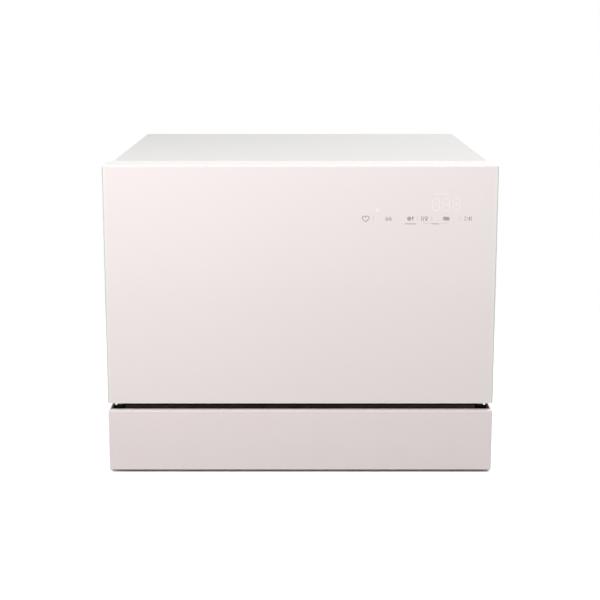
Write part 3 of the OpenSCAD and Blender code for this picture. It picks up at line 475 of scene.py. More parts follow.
@dataclass(frozen=True)
class Ink(Finish):
    """Screen-printed ink, also used in white as the painted glow of the lit display."""

    cover_cells: float = 2600.0

    def paint(self, s: Shader) -> None:
        """Thin ink with slightly broken cover.

        Args:
            s: the finish's shader.
        """
        cover = s.noise(self.cover_cells, 2.0).rise(0.2, 0.5)
        s.feed(Base_Color=s.blend(cover, scaled(self.colour, 1.15), self.colour), Roughness=0.3)


ENAMEL = PaintedSheet("baked_white_enamel", "white_paint", srgb(232, 231, 230))
GLASS = BackPaintedGlass("back_painted_glass", "door_glass", srgb(241, 233, 232))
TOE_PLASTIC = Moulded("toe_panel_white", "white_plastic", srgb(238, 228, 227),
                      0.42, 900, 0.006 * MM, 0.01)
SHELL_PLASTIC = Moulded("door_shell_white", "white_plastic", srgb(240, 238, 236),
                        0.4, 900, 0.006 * MM, 0.01)
DARK_PLASTIC = Moulded("dark_base_plastic", "dark_plastic", srgb(44, 38, 38),
                       0.55, 1200, 0.02 * MM, 0.12)
# Lighter than the dark base plastic: painted light for the shaded slot under the door.
SLOT_PAINTED_LIGHT = Moulded("slot_painted_light_plastic", "dark_plastic", srgb(132, 114, 110),
                       0.5, 1200, 0.01 * MM, 0.2)
GREY_PLASTIC = Moulded("wash_grey_plastic", "grey_plastic", srgb(150, 153, 158), 0.42)
DARK_GREY = Moulded("pump_grey_plastic", "grey_plastic", srgb(86, 89, 94), 0.5)
LIGHT_PLASTIC = Moulded("natural_light_plastic", "light_plastic", srgb(214, 214, 210), 0.4)
BLUE_PLASTIC = Moulded("cap_blue_plastic", "blue_plastic", srgb(66, 104, 160), 0.38)
DARK_GLASS = Moulded("display_case", "dark_plastic", srgb(24, 24, 28), 0.3)
NYLON = Moulded("nylon_wire_coat", "rack_coating", srgb(126, 131, 138),
                0.28, 700, 0.01 * MM, 0.03)
FOAM = Moulded("float_foam", "foam", srgb(232, 231, 226), 0.8, 500, 0.2 * MM, 0.05)
TUB_STEEL = SheetMetal("tub_steel_upright", "tub_steel", (0.60, 0.61, 0.62), Lay.ALONG_Z, 0.24)
LEVEL_STEEL = SheetMetal("tub_steel_level", "tub_steel", (0.60, 0.61, 0.62), Lay.ALONG_X, 0.26)
LINER_STEEL = SheetMetal("liner_steel", "tub_steel", (0.62, 0.63, 0.64), Lay.ALONG_X, 0.24)
ZINC = SheetMetal("zinc_plate", "zinc_steel", (0.50, 0.50, 0.52), Lay.NONE, 0.36)
MOTOR_STEEL = SheetMetal("motor_can", "motor_steel", (0.28, 0.28, 0.30), Lay.ALONG_X, 0.4, 0.7)
REAR_STEEL = Galvanised("spangled_back_sheet", "rear_steel", (0.52, 0.52, 0.53))
RUBBER = Rubber("soft_black_rubber", "rubber", srgb(38, 38, 40))
SEAL_RUBBER = Rubber("seal_grey_rubber", "rubber", srgb(70, 70, 72))
FELT = Felt("bitumen_felt", "felt", srgb(70, 66, 62))
BOARD = Circuit("circuit_board", "board", srgb(14, 84, 52))
PRINT = Ink("grey_print", "door_glass", srgb(98, 90, 92))
FAINT_PRINT = Ink("faint_grey_print", "door_glass", srgb(196, 188, 188))
# White ink standing in for the lit display's light: a painted glow.
DISPLAY_GLOW_INK = Ink("display_digit_painted_glow", "door_glass", srgb(249, 243, 243))


# ---- mesh tools -----------------------------------------------------------------------------

@dataclass(frozen=True)
class Box:
    """A box at rest, in metres."""

    lo: Vector
    hi: Vector

    @staticmethod
    def of(node: str) -> "Box":
        """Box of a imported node."""
        return Box(*(Vector(corner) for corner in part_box(node)))

    @property
    def mid(self) -> Vector:
        """Middle point."""
        return (self.lo + self.hi) / 2


def smooth(mesh: bpy.types.Mesh, angle: float = SMOOTH_DEG) -> None:
    """Shades mesh smooth across edges flatter than angle, in degrees."""
    mesh.shade_smooth()
    mesh.set_sharp_from_angle(angle=math.radians(angle))


def link(name: str, data: bpy.types.ID) -> bpy.types.Object:
    """Links a new object, at the origin, that holds a mesh, lamp or camera.

    Args:
        name: the object's name.
        data: what it holds.

    Returns:
        The object.
    """
    obj = bpy.data.objects.new(name, data)
    bpy.context.scene.collection.objects.link(obj)
    return obj


def plain_mesh(name: str, bm: bmesh.types.BMesh) -> bpy.types.Mesh:
    """Turns bm into a mesh and frees it.

    Args:
        name: the mesh's name.
        bm: the faces, which can't be used afterwards.

    Returns:
        The mesh.
    """
    mesh = bpy.data.meshes.new(name)
    bm.to_mesh(mesh)
    bm.free()
    return mesh


def settle(obj: bpy.types.Object) -> None:
    """Turns an object and its modifiers into one plain mesh.

    Args:
        obj: the object, which keeps its name.
    """
    depsgraph = bpy.context.evaluated_depsgraph_get()
    made = bpy.data.meshes.new_from_object(obj.evaluated_get(depsgraph), depsgraph=depsgraph)
    obj.modifiers.clear()
    obj.data = made


def coat(obj: bpy.types.Object, finish: Finish) -> None:
    """Gives an object one finish in place of any it has."""
    obj.data.materials.clear()
    obj.data.materials.append(finish.material())


def dress(obj: bpy.types.Object, finish: Finish, body: str, *nodes: str) -> None:
    """Gives a new piece its finish and its body.

    Args:
        obj: the piece.
        finish: its finish.
        body: the body that it rides on.
        nodes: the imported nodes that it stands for.
    """
    coat(obj, finish)
    if nodes:
        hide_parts(*nodes)
    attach(obj, body)
    log.info("%s rides on %s", obj.name, body)


def round_corners(bm: bmesh.types.BMesh, radius: float) -> None:
    """Rounds the four outermost corners that are seen from the front.

    Args:
        bm: the mesh, whose inner corners stay.
        radius: the corners' radius, in metres.
    """
    xs, zs = [v.co.x for v in bm.verts], [v.co.z for v in bm.verts]
    picked = []
    for edge in bm.edges:
        a, b = (v.co for v in edge.verts)
        lies = abs(a.x - b.x) < SAME_PLACE and abs(a.z - b.z) < SAME_PLACE
        inward = max(min(a.x - min(xs), max(xs) - a.x), min(a.z - min(zs), max(zs) - a.z))
        if lies and inward < SAME_PLACE:
            picked.append(edge)
    bmesh.ops.bevel(bm, geom=picked, offset=radius, segments=CORNER_STEPS, profile=0.5,
                    affect="EDGES")


def roll_front(bm: bmesh.types.BMesh, radius: float) -> None:
    """Rolls over the edges round the foremost flat face.

    Args:
        bm: the mesh.
        radius: radius of the rolled edge, in metres.
    """
    front = min(v.co.y for v in bm.verts)
    picked = [e for e in bm.edges
              if all(v.co.y - front < SAME_PLACE for v in e.verts) and not e.is_boundary
              and e.calc_face_angle(0.0) > math.radians(ROLL_DEG)]
    bmesh.ops.bevel(bm, geom=picked, offset=radius, segments=ROLL_STEPS, profile=0.5,
                    affect="EDGES")


def merged_copy(node: str, name: str, corner: float, roll: float) -> bpy.types.Object:
    """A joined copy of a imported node, with its flat faces made whole.

    Args:
        node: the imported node.
        name: the new object's name.
        corner: radius of the outline's four corners seen from the front, in metres.
        roll: radius of the edges round its front face, in metres.

    Returns:
        The new object.
    """
    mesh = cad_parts[node].data.copy()
    mesh.name = name
    bm = bmesh.new()
    bm.from_mesh(mesh)
    bmesh.ops.remove_doubles(bm, verts=bm.verts, dist=WELD_DIST)
    bmesh.ops.dissolve_limit(bm, angle_limit=math.radians(FLAT_DEG), verts=bm.verts,
                             edges=bm.edges)
    if corner:
        round_corners(bm, corner)
    if roll:
        roll_front(bm, roll)
    bm.to_mesh(mesh)
    bm.free()
    return link(name, mesh)


def softened(node: str, edge_mm: float, finish: Finish, body: str, segments: int = 2,
             corner: float = 0.0, roll: float = 0.0) -> None:
    """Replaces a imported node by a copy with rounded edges.

    Args:
        node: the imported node.
        edge_mm: radius of the rounded edges, in mm, or 0 to keep them.
        finish: its finish.
        body: the body that it rides on.
        segments: facets of each rounded edge.
        corner: radius of the outline's four corners seen from the front, in metres.
        roll: radius of the edges round its front face, in metres.
    """
    obj = merged_copy(node, node + "_skin", corner, roll)
    smooth(obj.data)
    if edge_mm:
        bevel = obj.modifiers.new("round", "BEVEL")
        bevel.width = edge_mm * MM
        bevel.segments = segments
        bevel.limit_method = "ANGLE"
        bevel.angle_limit = math.radians(BEVEL_DEG)
        bevel.miter_outer = "MITER_ARC"
    even = obj.modifiers.new("even", "WEIGHTED_NORMAL")
    even.keep_sharp = True
    settle(obj)
    dress(obj, finish, body, node)


def repaint(finishes: dict[str, Finish]) -> None:
    """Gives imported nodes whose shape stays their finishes.

    Args:
        finishes: the finish of each node.
    """
    for node, finish in finishes.items():
        coat(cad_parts[node], finish)
        log.info("%s takes %s", node, finish.name)


# ---- geometry trees -------------------------------------------------------------------------

class GeometryTree:
    """A Geometry Nodes tree with named inputs, ending in plain meshes with a material."""

    def __init__(self, name: str, sizes: dict[str, float]) -> None:
        """Starts a tree.

        Args:
            name: the tree's name.
            sizes: its number inputs and what each is at first.
        """
        self.tree = bpy.data.node_groups.new(name, "GeometryNodeTree")
        face = self.tree.interface
        face.new_socket("Geometry", in_out="INPUT", socket_type="NodeSocketGeometry")
        self.keys = {}
        for label, value in sizes.items():
            socket = face.new_socket(label, in_out="INPUT", socket_type="NodeSocketFloat")
            socket.default_value = value
            self.keys[label] = socket.identifier
        material = face.new_socket("Material", in_out="INPUT", socket_type="NodeSocketMaterial")
        self.keys["Material"] = material.identifier
        face.new_socket("Geometry", in_out="OUTPUT", socket_type="NodeSocketGeometry")
        self.start = self.tree.nodes.new("NodeGroupInput")
        self.end = self.tree.nodes.new("NodeGroupOutput")

    def add(self, kind: str, values: dict, **settings: str) -> bpy.types.Node:
        """Adds one node with its inputs, by name or index, and its properties."""
        return add_node(self.tree, kind, settings, values)

    def given(self, label: str) -> bpy.types.NodeSocket:
        """The tree's own input called label."""
        return self.start.outputs[label]

    def close(self, geometry: bpy.types.NodeSocket) -> None:
        """Ends the tree with real geometry that carries the material.

        Args:
            geometry: what the tree has made.
        """
        real = self.add("GeometryNodeRealizeInstances", {0: geometry})
        made = self.add("GeometryNodeSetMaterial",
                        {0: real.outputs[0], "Material": self.given("Material")})
        self.tree.links.new(made.outputs[0], self.end.inputs[0])

    def run(self, name: str, seed: bpy.types.Mesh, finish: Finish,
            **sizes: float) -> bpy.types.Object:
        """Runs the tree on a seed mesh and keeps the plain result.

        Args:
            name: the new object's name.
            seed: the mesh that the tree starts from.
            finish: the finish that the result takes.
            sizes: values of the tree's inputs, named with underscores for spaces.

        Returns:
            A plain mesh object.
        """
        obj = link(name, seed)
        modifier = obj.modifiers.new("nodes", "NODES")
        modifier.node_group = self.tree
        for label, value in sizes.items():
            modifier[self.keys[label.replace("_", " ")]] = value
        modifier[self.keys["Material"]] = finish.material()
        settle(obj)
        return obj


def wire_tree() -> GeometryTree:
    """Round wires along the edges of a mesh, with a ball at each loose end.

    Returns:
        The tree, with the input Wire radius.
    """
    g = GeometryTree("coated wires", {"Wire radius": 2 * MM})
    radius = g.given("Wire radius")
    curves = g.add("GeometryNodeMeshToCurve", {0: g.given("Geometry")})
    ring = g.add("GeometryNodeCurvePrimitiveCircle", {"Resolution": WIRE_SIDES, "Radius": radius})
    tube = g.add("GeometryNodeCurveToMesh",
                 {"Curve": curves.outputs[0], "Profile Curve": ring.outputs[0], "Fill Caps": True})
    tips = g.add("GeometryNodeCurveEndpointSelection", {})
    ball = g.add("GeometryNodeMeshUVSphere",
                 {"Segments": BALL_SEGMENTS, "Rings": BALL_RINGS, "Radius": radius})
    balls = g.add("GeometryNodeInstanceOnPoints",
                  {"Points": curves.outputs[0], "Selection": tips.outputs[0],
                   "Instance": ball.outputs[0]})
    joined = g.add("GeometryNodeJoinGeometry", {})
    for part in (balls, tube):
        g.tree.links.new(part.outputs[0], joined.inputs[0])
    g.close(g.add("GeometryNodeSetShadeSmooth", {0: joined.outputs[0]}).outputs[0])
    return g


def stamp_tree(name: str, stamp: bpy.types.Object) -> GeometryTree:
    """Copies of a stamp on the points of a mesh, each turned about Y by its own angle.

    Args:
        name: the tree's name.
        stamp: the object that is copied.

    Returns:
        The tree, with the input Turn for the largest angle, in radians.
    """
    g = GeometryTree(name, {"Turn": 0.0})
    info = g.add("GeometryNodeObjectInfo", {"Object": stamp})
    turn = g.add("FunctionNodeRandomValue", {}, data_type="FLOAT")
    largest = next(s for s in turn.inputs if s.name == "Max" and s.type == "VALUE")
    g.tree.links.new(g.given("Turn"), largest)
    next(s for s in turn.inputs if s.name == "Seed").default_value = STAMP_SEED
    angle = next(s for s in turn.outputs if s.type == "VALUE")
    angles = g.add("ShaderNodeCombineXYZ", {1: angle})
    copies = g.add("GeometryNodeInstanceOnPoints",
                   {"Points": g.given("Geometry"), "Instance": info.outputs["Geometry"],
                    "Rotation": angles.outputs[0]})
    g.close(copies.outputs[0])
    return g


def paths_mesh(name: str, paths: Iterable[Sequence[Point]]) -> bpy.types.Mesh:
    """A mesh of loose points or open chains of edges.

    Args:
        name: the mesh's name.
        paths: the points of each chain.

    Returns:
        The mesh.
    """
    points, edges = [], []
    for path in paths:
        first = len(points)
        points += path
        edges += [(i, i + 1) for i in range(first, len(points) - 1)]
    mesh = bpy.data.meshes.new(name)
    mesh.from_pydata(points, edges, [])
    return mesh


def turned_mesh(name: str, outline: Sequence[Flat], sides: int) -> bpy.types.Mesh:
    """A closed solid turned about the Y axis.

    Args:
        name: the mesh's name.
        outline: (radius, y) from one pole to the other, both at radius 0.
        sides: facets round the axis.

    Returns:
        The mesh, with outward faces.
    """
    bm = bmesh.new()
    rings = [[bm.verts.new((radius * math.cos(a), y, radius * math.sin(a)))
              for a in (2 * math.pi * i / sides for i in range(sides if radius else 1))]
             for radius, y in outline]
    for one, two in zip(rings, rings[1:]):
        for i in range(sides):
            j = (i + 1) % sides
            corners = [one[i % len(one)], one[j % len(one)], two[j % len(two)], two[i % len(two)]]
            bm.faces.new(list(dict.fromkeys(corners)))
    bmesh.ops.recalc_face_normals(bm, faces=bm.faces)
    return plain_mesh(name, bm)


def coil(radius: float, pitch: float, turns: int, per_turn: int) -> list[Point]:
    """Points along a helix.

    Args:
        radius: its radius.
        pitch: its advance in one turn.
        turns: how many turns it has.
        per_turn: points in one turn.

    Returns:
        For each point its advance, and its two places across the axis.
    """
    angles = [2 * math.pi * i / per_turn for i in range(turns * per_turn + 1)]
    return [(pitch * a / (2 * math.pi), radius * math.cos(a), radius * math.sin(a))
            for a in angles]


def arc(cx: float, cz: float, r: float, start: float, stop: float, steps: int = 14) -> Path:
    """Points along an arc round (cx, cz), from start to stop in degrees."""
    angles = [math.radians(start + (stop - start) * i / steps) for i in range(steps + 1)]
    return [(cx + r * math.cos(a), cz + r * math.sin(a)) for a in angles]


def spread(a: float, b: float, pitch: float) -> list[float]:
    """Evenly spaced places from a to b, no further apart than pitch."""
    count = math.ceil((b - a) / pitch - 1e-9)
    return [a + (b - a) * i / count for i in range(count + 1)]


def island_centres(mesh: bpy.types.Mesh) -> list[Vector]:
    """Middles of the boxes of a mesh's separate parts.

    Args:
        mesh: a mesh of several parts.

    Returns:
        The middles, in no set order.
    """
    bm = bmesh.new()
    bm.from_mesh(mesh)
    bmesh.ops.remove_doubles(bm, verts=bm.verts, dist=WELD_DIST)
    centres, left = [], set(bm.verts)
    while left:
        group, queue = [], [left.pop()]
        while queue:
            vert = queue.pop()
            group.append(vert.co)
            fresh = {edge.other_vert(vert) for edge in vert.link_edges} & left
            left -= fresh
            queue += fresh
        ends = [(min(axis), max(axis)) for axis in zip(*group)]
        centres.append(Vector([(low + high) / 2 for low, high in ends]))
    bm.free()
    return centres


# ---- outer casing ---------------------------------------------------------------------------

@dataclass
class Casing:
    """Painted wrap, back sheet with its louvres and screws, and the dark cross member, coloured
    lighter as painted light in the slot.
    """

    body: str = CABINET
    wrap_edge_mm: float = 0.9
    brace_edge_mm: float = 0.5
    screw_r: float = 4.0 * MM
    screw_h: float = 1.9 * MM
    screw_sides: int = 28
    head: tuple[Flat, ...] = ((0, 0), (1, 0), (1, 0.35), (0.93, 0.68), (0.72, 0.92), (0, 1))
    recess: Flat = (0.62, 0.15)
    recess_depth: float = 0.55
    louvre_x: Flat = (60 * MM, 160 * MM)
    louvre_z_mm: range = range(96, 137, 10)
    hood_seat: float = 3.6 * MM
    hood_h: float = 3.2 * MM
    hood_proud: float = 1.7 * MM
    hood_sheet: float = 0.5 * MM
    hood_steps: int = 8

    def build(self) -> None:
        """Builds the casing's pieces."""
        softened("cabinet_wrap", self.wrap_edge_mm, ENAMEL, self.body, 3)
        # The cross member is coloured lighter than its dark plastic: painted light in the slot.
        softened("front_brace", self.brace_edge_mm, SLOT_PAINTED_LIGHT, self.body)
        softened("rear_panel", 0.0, REAR_STEEL, self.body)
        self.screws()
        self.louvre_hoods()

    def screw_stamp(self) -> bpy.types.Object:
        """One pan-head screw with a cross recess, facing +Y from its seat at y = 0.

        Returns:
            The object that is copied.
        """
        r, h = self.screw_r, self.screw_h
        outline = [(out * r, up * h) for out, up in self.head]
        stamp = link("screw_stamp", turned_mesh("screw_stamp", outline, self.screw_sides))
        for long, wide in (self.recess, self.recess[::-1]):
            bar = bmesh.new()
            bmesh.ops.create_cube(bar, size=2.0)
            bmesh.ops.scale(bar, vec=(long * r, self.recess_depth * h, wide * r), verts=bar.verts)
            bmesh.ops.translate(bar, vec=(0, h, 0), verts=bar.verts)
            tool = link("recess", plain_mesh("recess", bar))
            cut = stamp.modifiers.new("recess", "BOOLEAN")
            cut.object, cut.operation, cut.solver = tool, "DIFFERENCE", "EXACT"
            settle(stamp)
            bpy.data.objects.remove(tool)
        smooth(stamp.data, TURNED_SMOOTH_DEG)
        return stamp

    def screws(self) -> None:
        """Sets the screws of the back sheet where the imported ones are."""
        seat = Box.of("rear_screws").hi.y - self.screw_h
        packed = island_centres(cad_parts["rear_screws"].data)
        centres = sorted((mid.x, seat, mid.z) for mid in packed)
        self.stamped("rear_screw_heads", self.screw_stamp(), centres, ZINC, math.pi,
                     "rear_screws")

    def stamped(self, name: str, stamp: bpy.types.Object, points: list[Point], finish: Finish,
                turn: float, *nodes: str) -> None:
        """Sets a copy of a stamp on each point and removes the stamp.

        Args:
            name: the new piece's name.
            stamp: the object that is copied.
            points: where the copies go.
            finish: their finish.
            turn: the largest angle that a copy is turned by, in radians.
            nodes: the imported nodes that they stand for.
        """
        seed = paths_mesh(name + "_points", [[point] for point in points])
        made = stamp_tree(name + " places", stamp).run(name, seed, finish, Turn=turn)
        bpy.data.objects.remove(stamp)
        dress(made, finish, self.body, *nodes)

    def louvre_hoods(self) -> None:
        """Pressed hoods over the upper edge of each louvre slot."""
        half, steps = (self.louvre_x[1] - self.louvre_x[0]) / 2, self.hood_steps
        bm = bmesh.new()
        for shrink in (0.0, self.hood_sheet):
            for i in range(steps + 1):
                a = math.pi / 2 * i / steps
                out = max(self.hood_proud * math.sin(a) - shrink, 0.0)
                up = max(self.hood_h * math.cos(a) - shrink, 0.0)
                bm.verts.new((shrink - half, out, up))
                bm.verts.new((half - shrink, out, up))
        bm.verts.ensure_lookup_table()
        v, inner = bm.verts, 2 * (steps + 1)
        for i in range(0, 2 * steps, 2):
            for base in (i, i + inner):
                bm.faces.new((v[base], v[base + 1], v[base + 3], v[base + 2]))
            for end in (i, i + 1):
                bm.faces.new((v[end], v[end + 2], v[inner + end + 2], v[inner + end]))
        for i in (0, 2 * steps):
            bm.faces.new((v[i], v[i + 1], v[inner + i + 1], v[inner + i]))
        bmesh.ops.recalc_face_normals(bm, faces=bm.faces)
        mesh = plain_mesh("hood_stamp", bm)
        smooth(mesh)
        sheet = Box.of("rear_panel").hi.y
        spots = [(sum(self.louvre_x) / 2, sheet, z * MM + self.hood_seat)
                 for z in self.louvre_z_mm]
        self.stamped("louvre_hoods", link("hood_stamp", mesh), spots, REAR_STEEL, 0.0)


@dataclass
class Base:
    """Toe panel, base tray, feet, rear fittings and the machinery that stands in the tray."""

    body: str = CABINET
    toe_edge_mm: float = 0.5
    toe_corner: float = 2.2 * MM
    toe_roll: float = 1.3 * MM
    trim_z: Flat = (78 * MM, 89.5 * MM)
    trim_gap: float = 0.05 * MM
    trim_thick: float = 0.75 * MM
    trim_edge: float = 0.15 * MM
    strip_half_mm: float = 255.3
    # Spans of the black bars of painted shade at the slot's ends, in mm.
    shade_blocks_mm: tuple[Flat, ...] = ((255.3, 264.6), (265.4, 272.3))
    neck_z: float = 38 * MM
    thread_r: float = 12.9 * MM
    thread_pitch: float = 1.814 * MM
    thread_turns: int = 8
    thread_steps: int = 28
    thread_wire: float = 0.62 * MM
    plain_tip: float = 2 * MM

    def build(self) -> None:
        """Builds and dresses the base."""
        softened("toe_panel", self.toe_edge_mm, TOE_PLASTIC, self.body, corner=self.toe_corner,
                 roll=self.toe_roll)
        for node, edge_mm, finish in (
                ("base_tray", 0.6, DARK_PLASTIC), ("connection_plate", 0.4, DARK_PLASTIC),
                ("rubber_feet", 0.6, RUBBER), ("inlet_valve", 0.5, LIGHT_PLASTIC),
                ("drain_spigot", 0.5, DARK_GREY), ("cord_gland", 0.5, RUBBER),
                ("water_softener", 0.8, LIGHT_PLASTIC), ("salt_cap", 0.8, BLUE_PLASTIC),
                ("sump", 0.4, DARK_GREY), ("hinge_arms", 0.8, ZINC),
                ("control_box", 0.6, LIGHT_PLASTIC), ("air_break", 0.8, LIGHT_PLASTIC)):
            softened(node, edge_mm, finish, node if node == "salt_cap" else self.body)
        self.neck_thread()
        # A lighter strip on the tray's dark front: painted light in the slot.
        self.trim("slot_strip", [(-self.strip_half_mm, self.strip_half_mm)], SLOT_PAINTED_LIGHT)
        # Black bars at both ends of the slot are painted shade.
        mirrored = [(-b, -a) for a, b in self.shade_blocks_mm]
        self.trim("slot_end_blocks", [*self.shade_blocks_mm, *mirrored], RUBBER)
        repaint({
            "hinge_pins": ZINC, "circulation_pump": DARK_GREY, "pump_motor": MOTOR_STEEL,
            "drain_pump": DARK_GREY, "flow_heater": LINER_STEEL, "float_switch": DARK_PLASTIC,
            "pump_rotor": ZINC, "leak_float": FOAM,
        })

    def trim(self, name: str, spans: list[Flat], finish: Finish) -> None:
        """Flat bars on the tray's front edge, seen through the slot under the door.

        Args:
            name: the new piece's name.
            spans: where each bar starts and ends across the machine, in mm.
            finish: its finish.
        """
        (low, high), thick = self.trim_z, self.trim_thick
        mid_y = Box.of("base_tray").lo.y - self.trim_gap - thick / 2
        bm = bmesh.new()
        for a, b in spans:
            bar = bmesh.ops.create_cube(bm, size=1.0)["verts"]
            bmesh.ops.scale(bm, vec=((b - a) * MM, thick, high - low), verts=bar)
            bmesh.ops.translate(bm, vec=((a + b) / 2 * MM, mid_y, (low + high) / 2), verts=bar)
        bmesh.ops.bevel(bm, geom=list(bm.edges), offset=self.trim_edge, segments=2, profile=0.5,
                        affect="EDGES")
        mesh = plain_mesh(name, bm)
        smooth(mesh, TRIM_SMOOTH_DEG)
        dress(link(name, mesh), finish, self.body)

    def neck_thread(self) -> None:
        """Screw thread round the inlet's neck, as one turned ridge."""
        neck = Box.of("inlet_valve")
        start = neck.hi.y - self.plain_tip - self.thread_turns * self.thread_pitch
        helix = coil(self.thread_r, self.thread_pitch, self.thread_turns, self.thread_steps)
        path = [(neck.mid.x + across, start + along, self.neck_z + up)
                for along, across, up in helix]
        made = WIRES.run("inlet_thread", paths_mesh("thread_path", [path]), LIGHT_PLASTIC,
                         Wire_radius=self.thread_wire)
        dress(made, LIGHT_PLASTIC, self.body)


# ---- door -----------------------------------------------------------------------------------

class Glyph(Enum):
    """Plain marks of the touch row."""

    HEART = "heart"
    DROPS = "drops"
    PLATE = "plate"
    GLASS = "glass"
    WAVES = "waves"
    PLAY = "play"


HALF_HEART = [(0, -4.4), (-3.6, -1.5), (-4.6, 0.4), (-4.7, 2.0), (-3.8, 3.4), (-2.2, 3.6),
              (-0.8, 2.9), (0, 2.1)]
DROP = [(0, 2.4), *arc(0, -0.6, 1.5, 150, 390, 10), (0, 2.4)]
# Strokes of each mark round its middle, as (x, z) in mm.
STROKES: dict[Glyph, list[Path]] = {
    Glyph.HEART: [HALF_HEART, [(-x, z) for x, z in HALF_HEART]],
    Glyph.DROPS: [[(x, 2.6), *arc(x, -0.8, 1.5, 150, 390), (x, 2.6)] for x in (-2.4, 2.4)],
    Glyph.PLATE: [arc(-1.8, 0, 2.4, 0, 360, 20), arc(-1.8, 0, 1.1, 0, 360),
                  [(3.2, -2.6), (3.2, 2.6)], [(2.4, 2.6), (2.4, 0.9), (4.0, 0.9), (4.0, 2.6)]],
    Glyph.GLASS: [[(-4.2, 2.4), (-3.6, -2.4), (-1.4, -2.4), (-0.8, 2.4), (-4.2, 2.4)],
                  [*arc(2.6, 1.0, 1.7, 180, 360), (4.3, 2.4), (0.9, 2.4), (0.9, 1.0)],
                  [(2.6, -0.7), (2.6, -2.4)], [(1.4, -2.4), (3.8, -2.4)]],
    Glyph.WAVES: [[(-4.4 + 0.55 * i, z + 0.8 * math.sin(i * math.pi / 2.6)) for i in range(17)]
                  for z in (-1.7, 0.0, 1.7)],
    Glyph.PLAY: [[(-4.2, -3.2), (-4.2, 3.2), (0.9, 0.0), (-4.2, -3.2)],
                 [(2.2, -3.0), (2.2, 3.0)], [(4.4, -3.0), (4.4, 3.0)]],
}


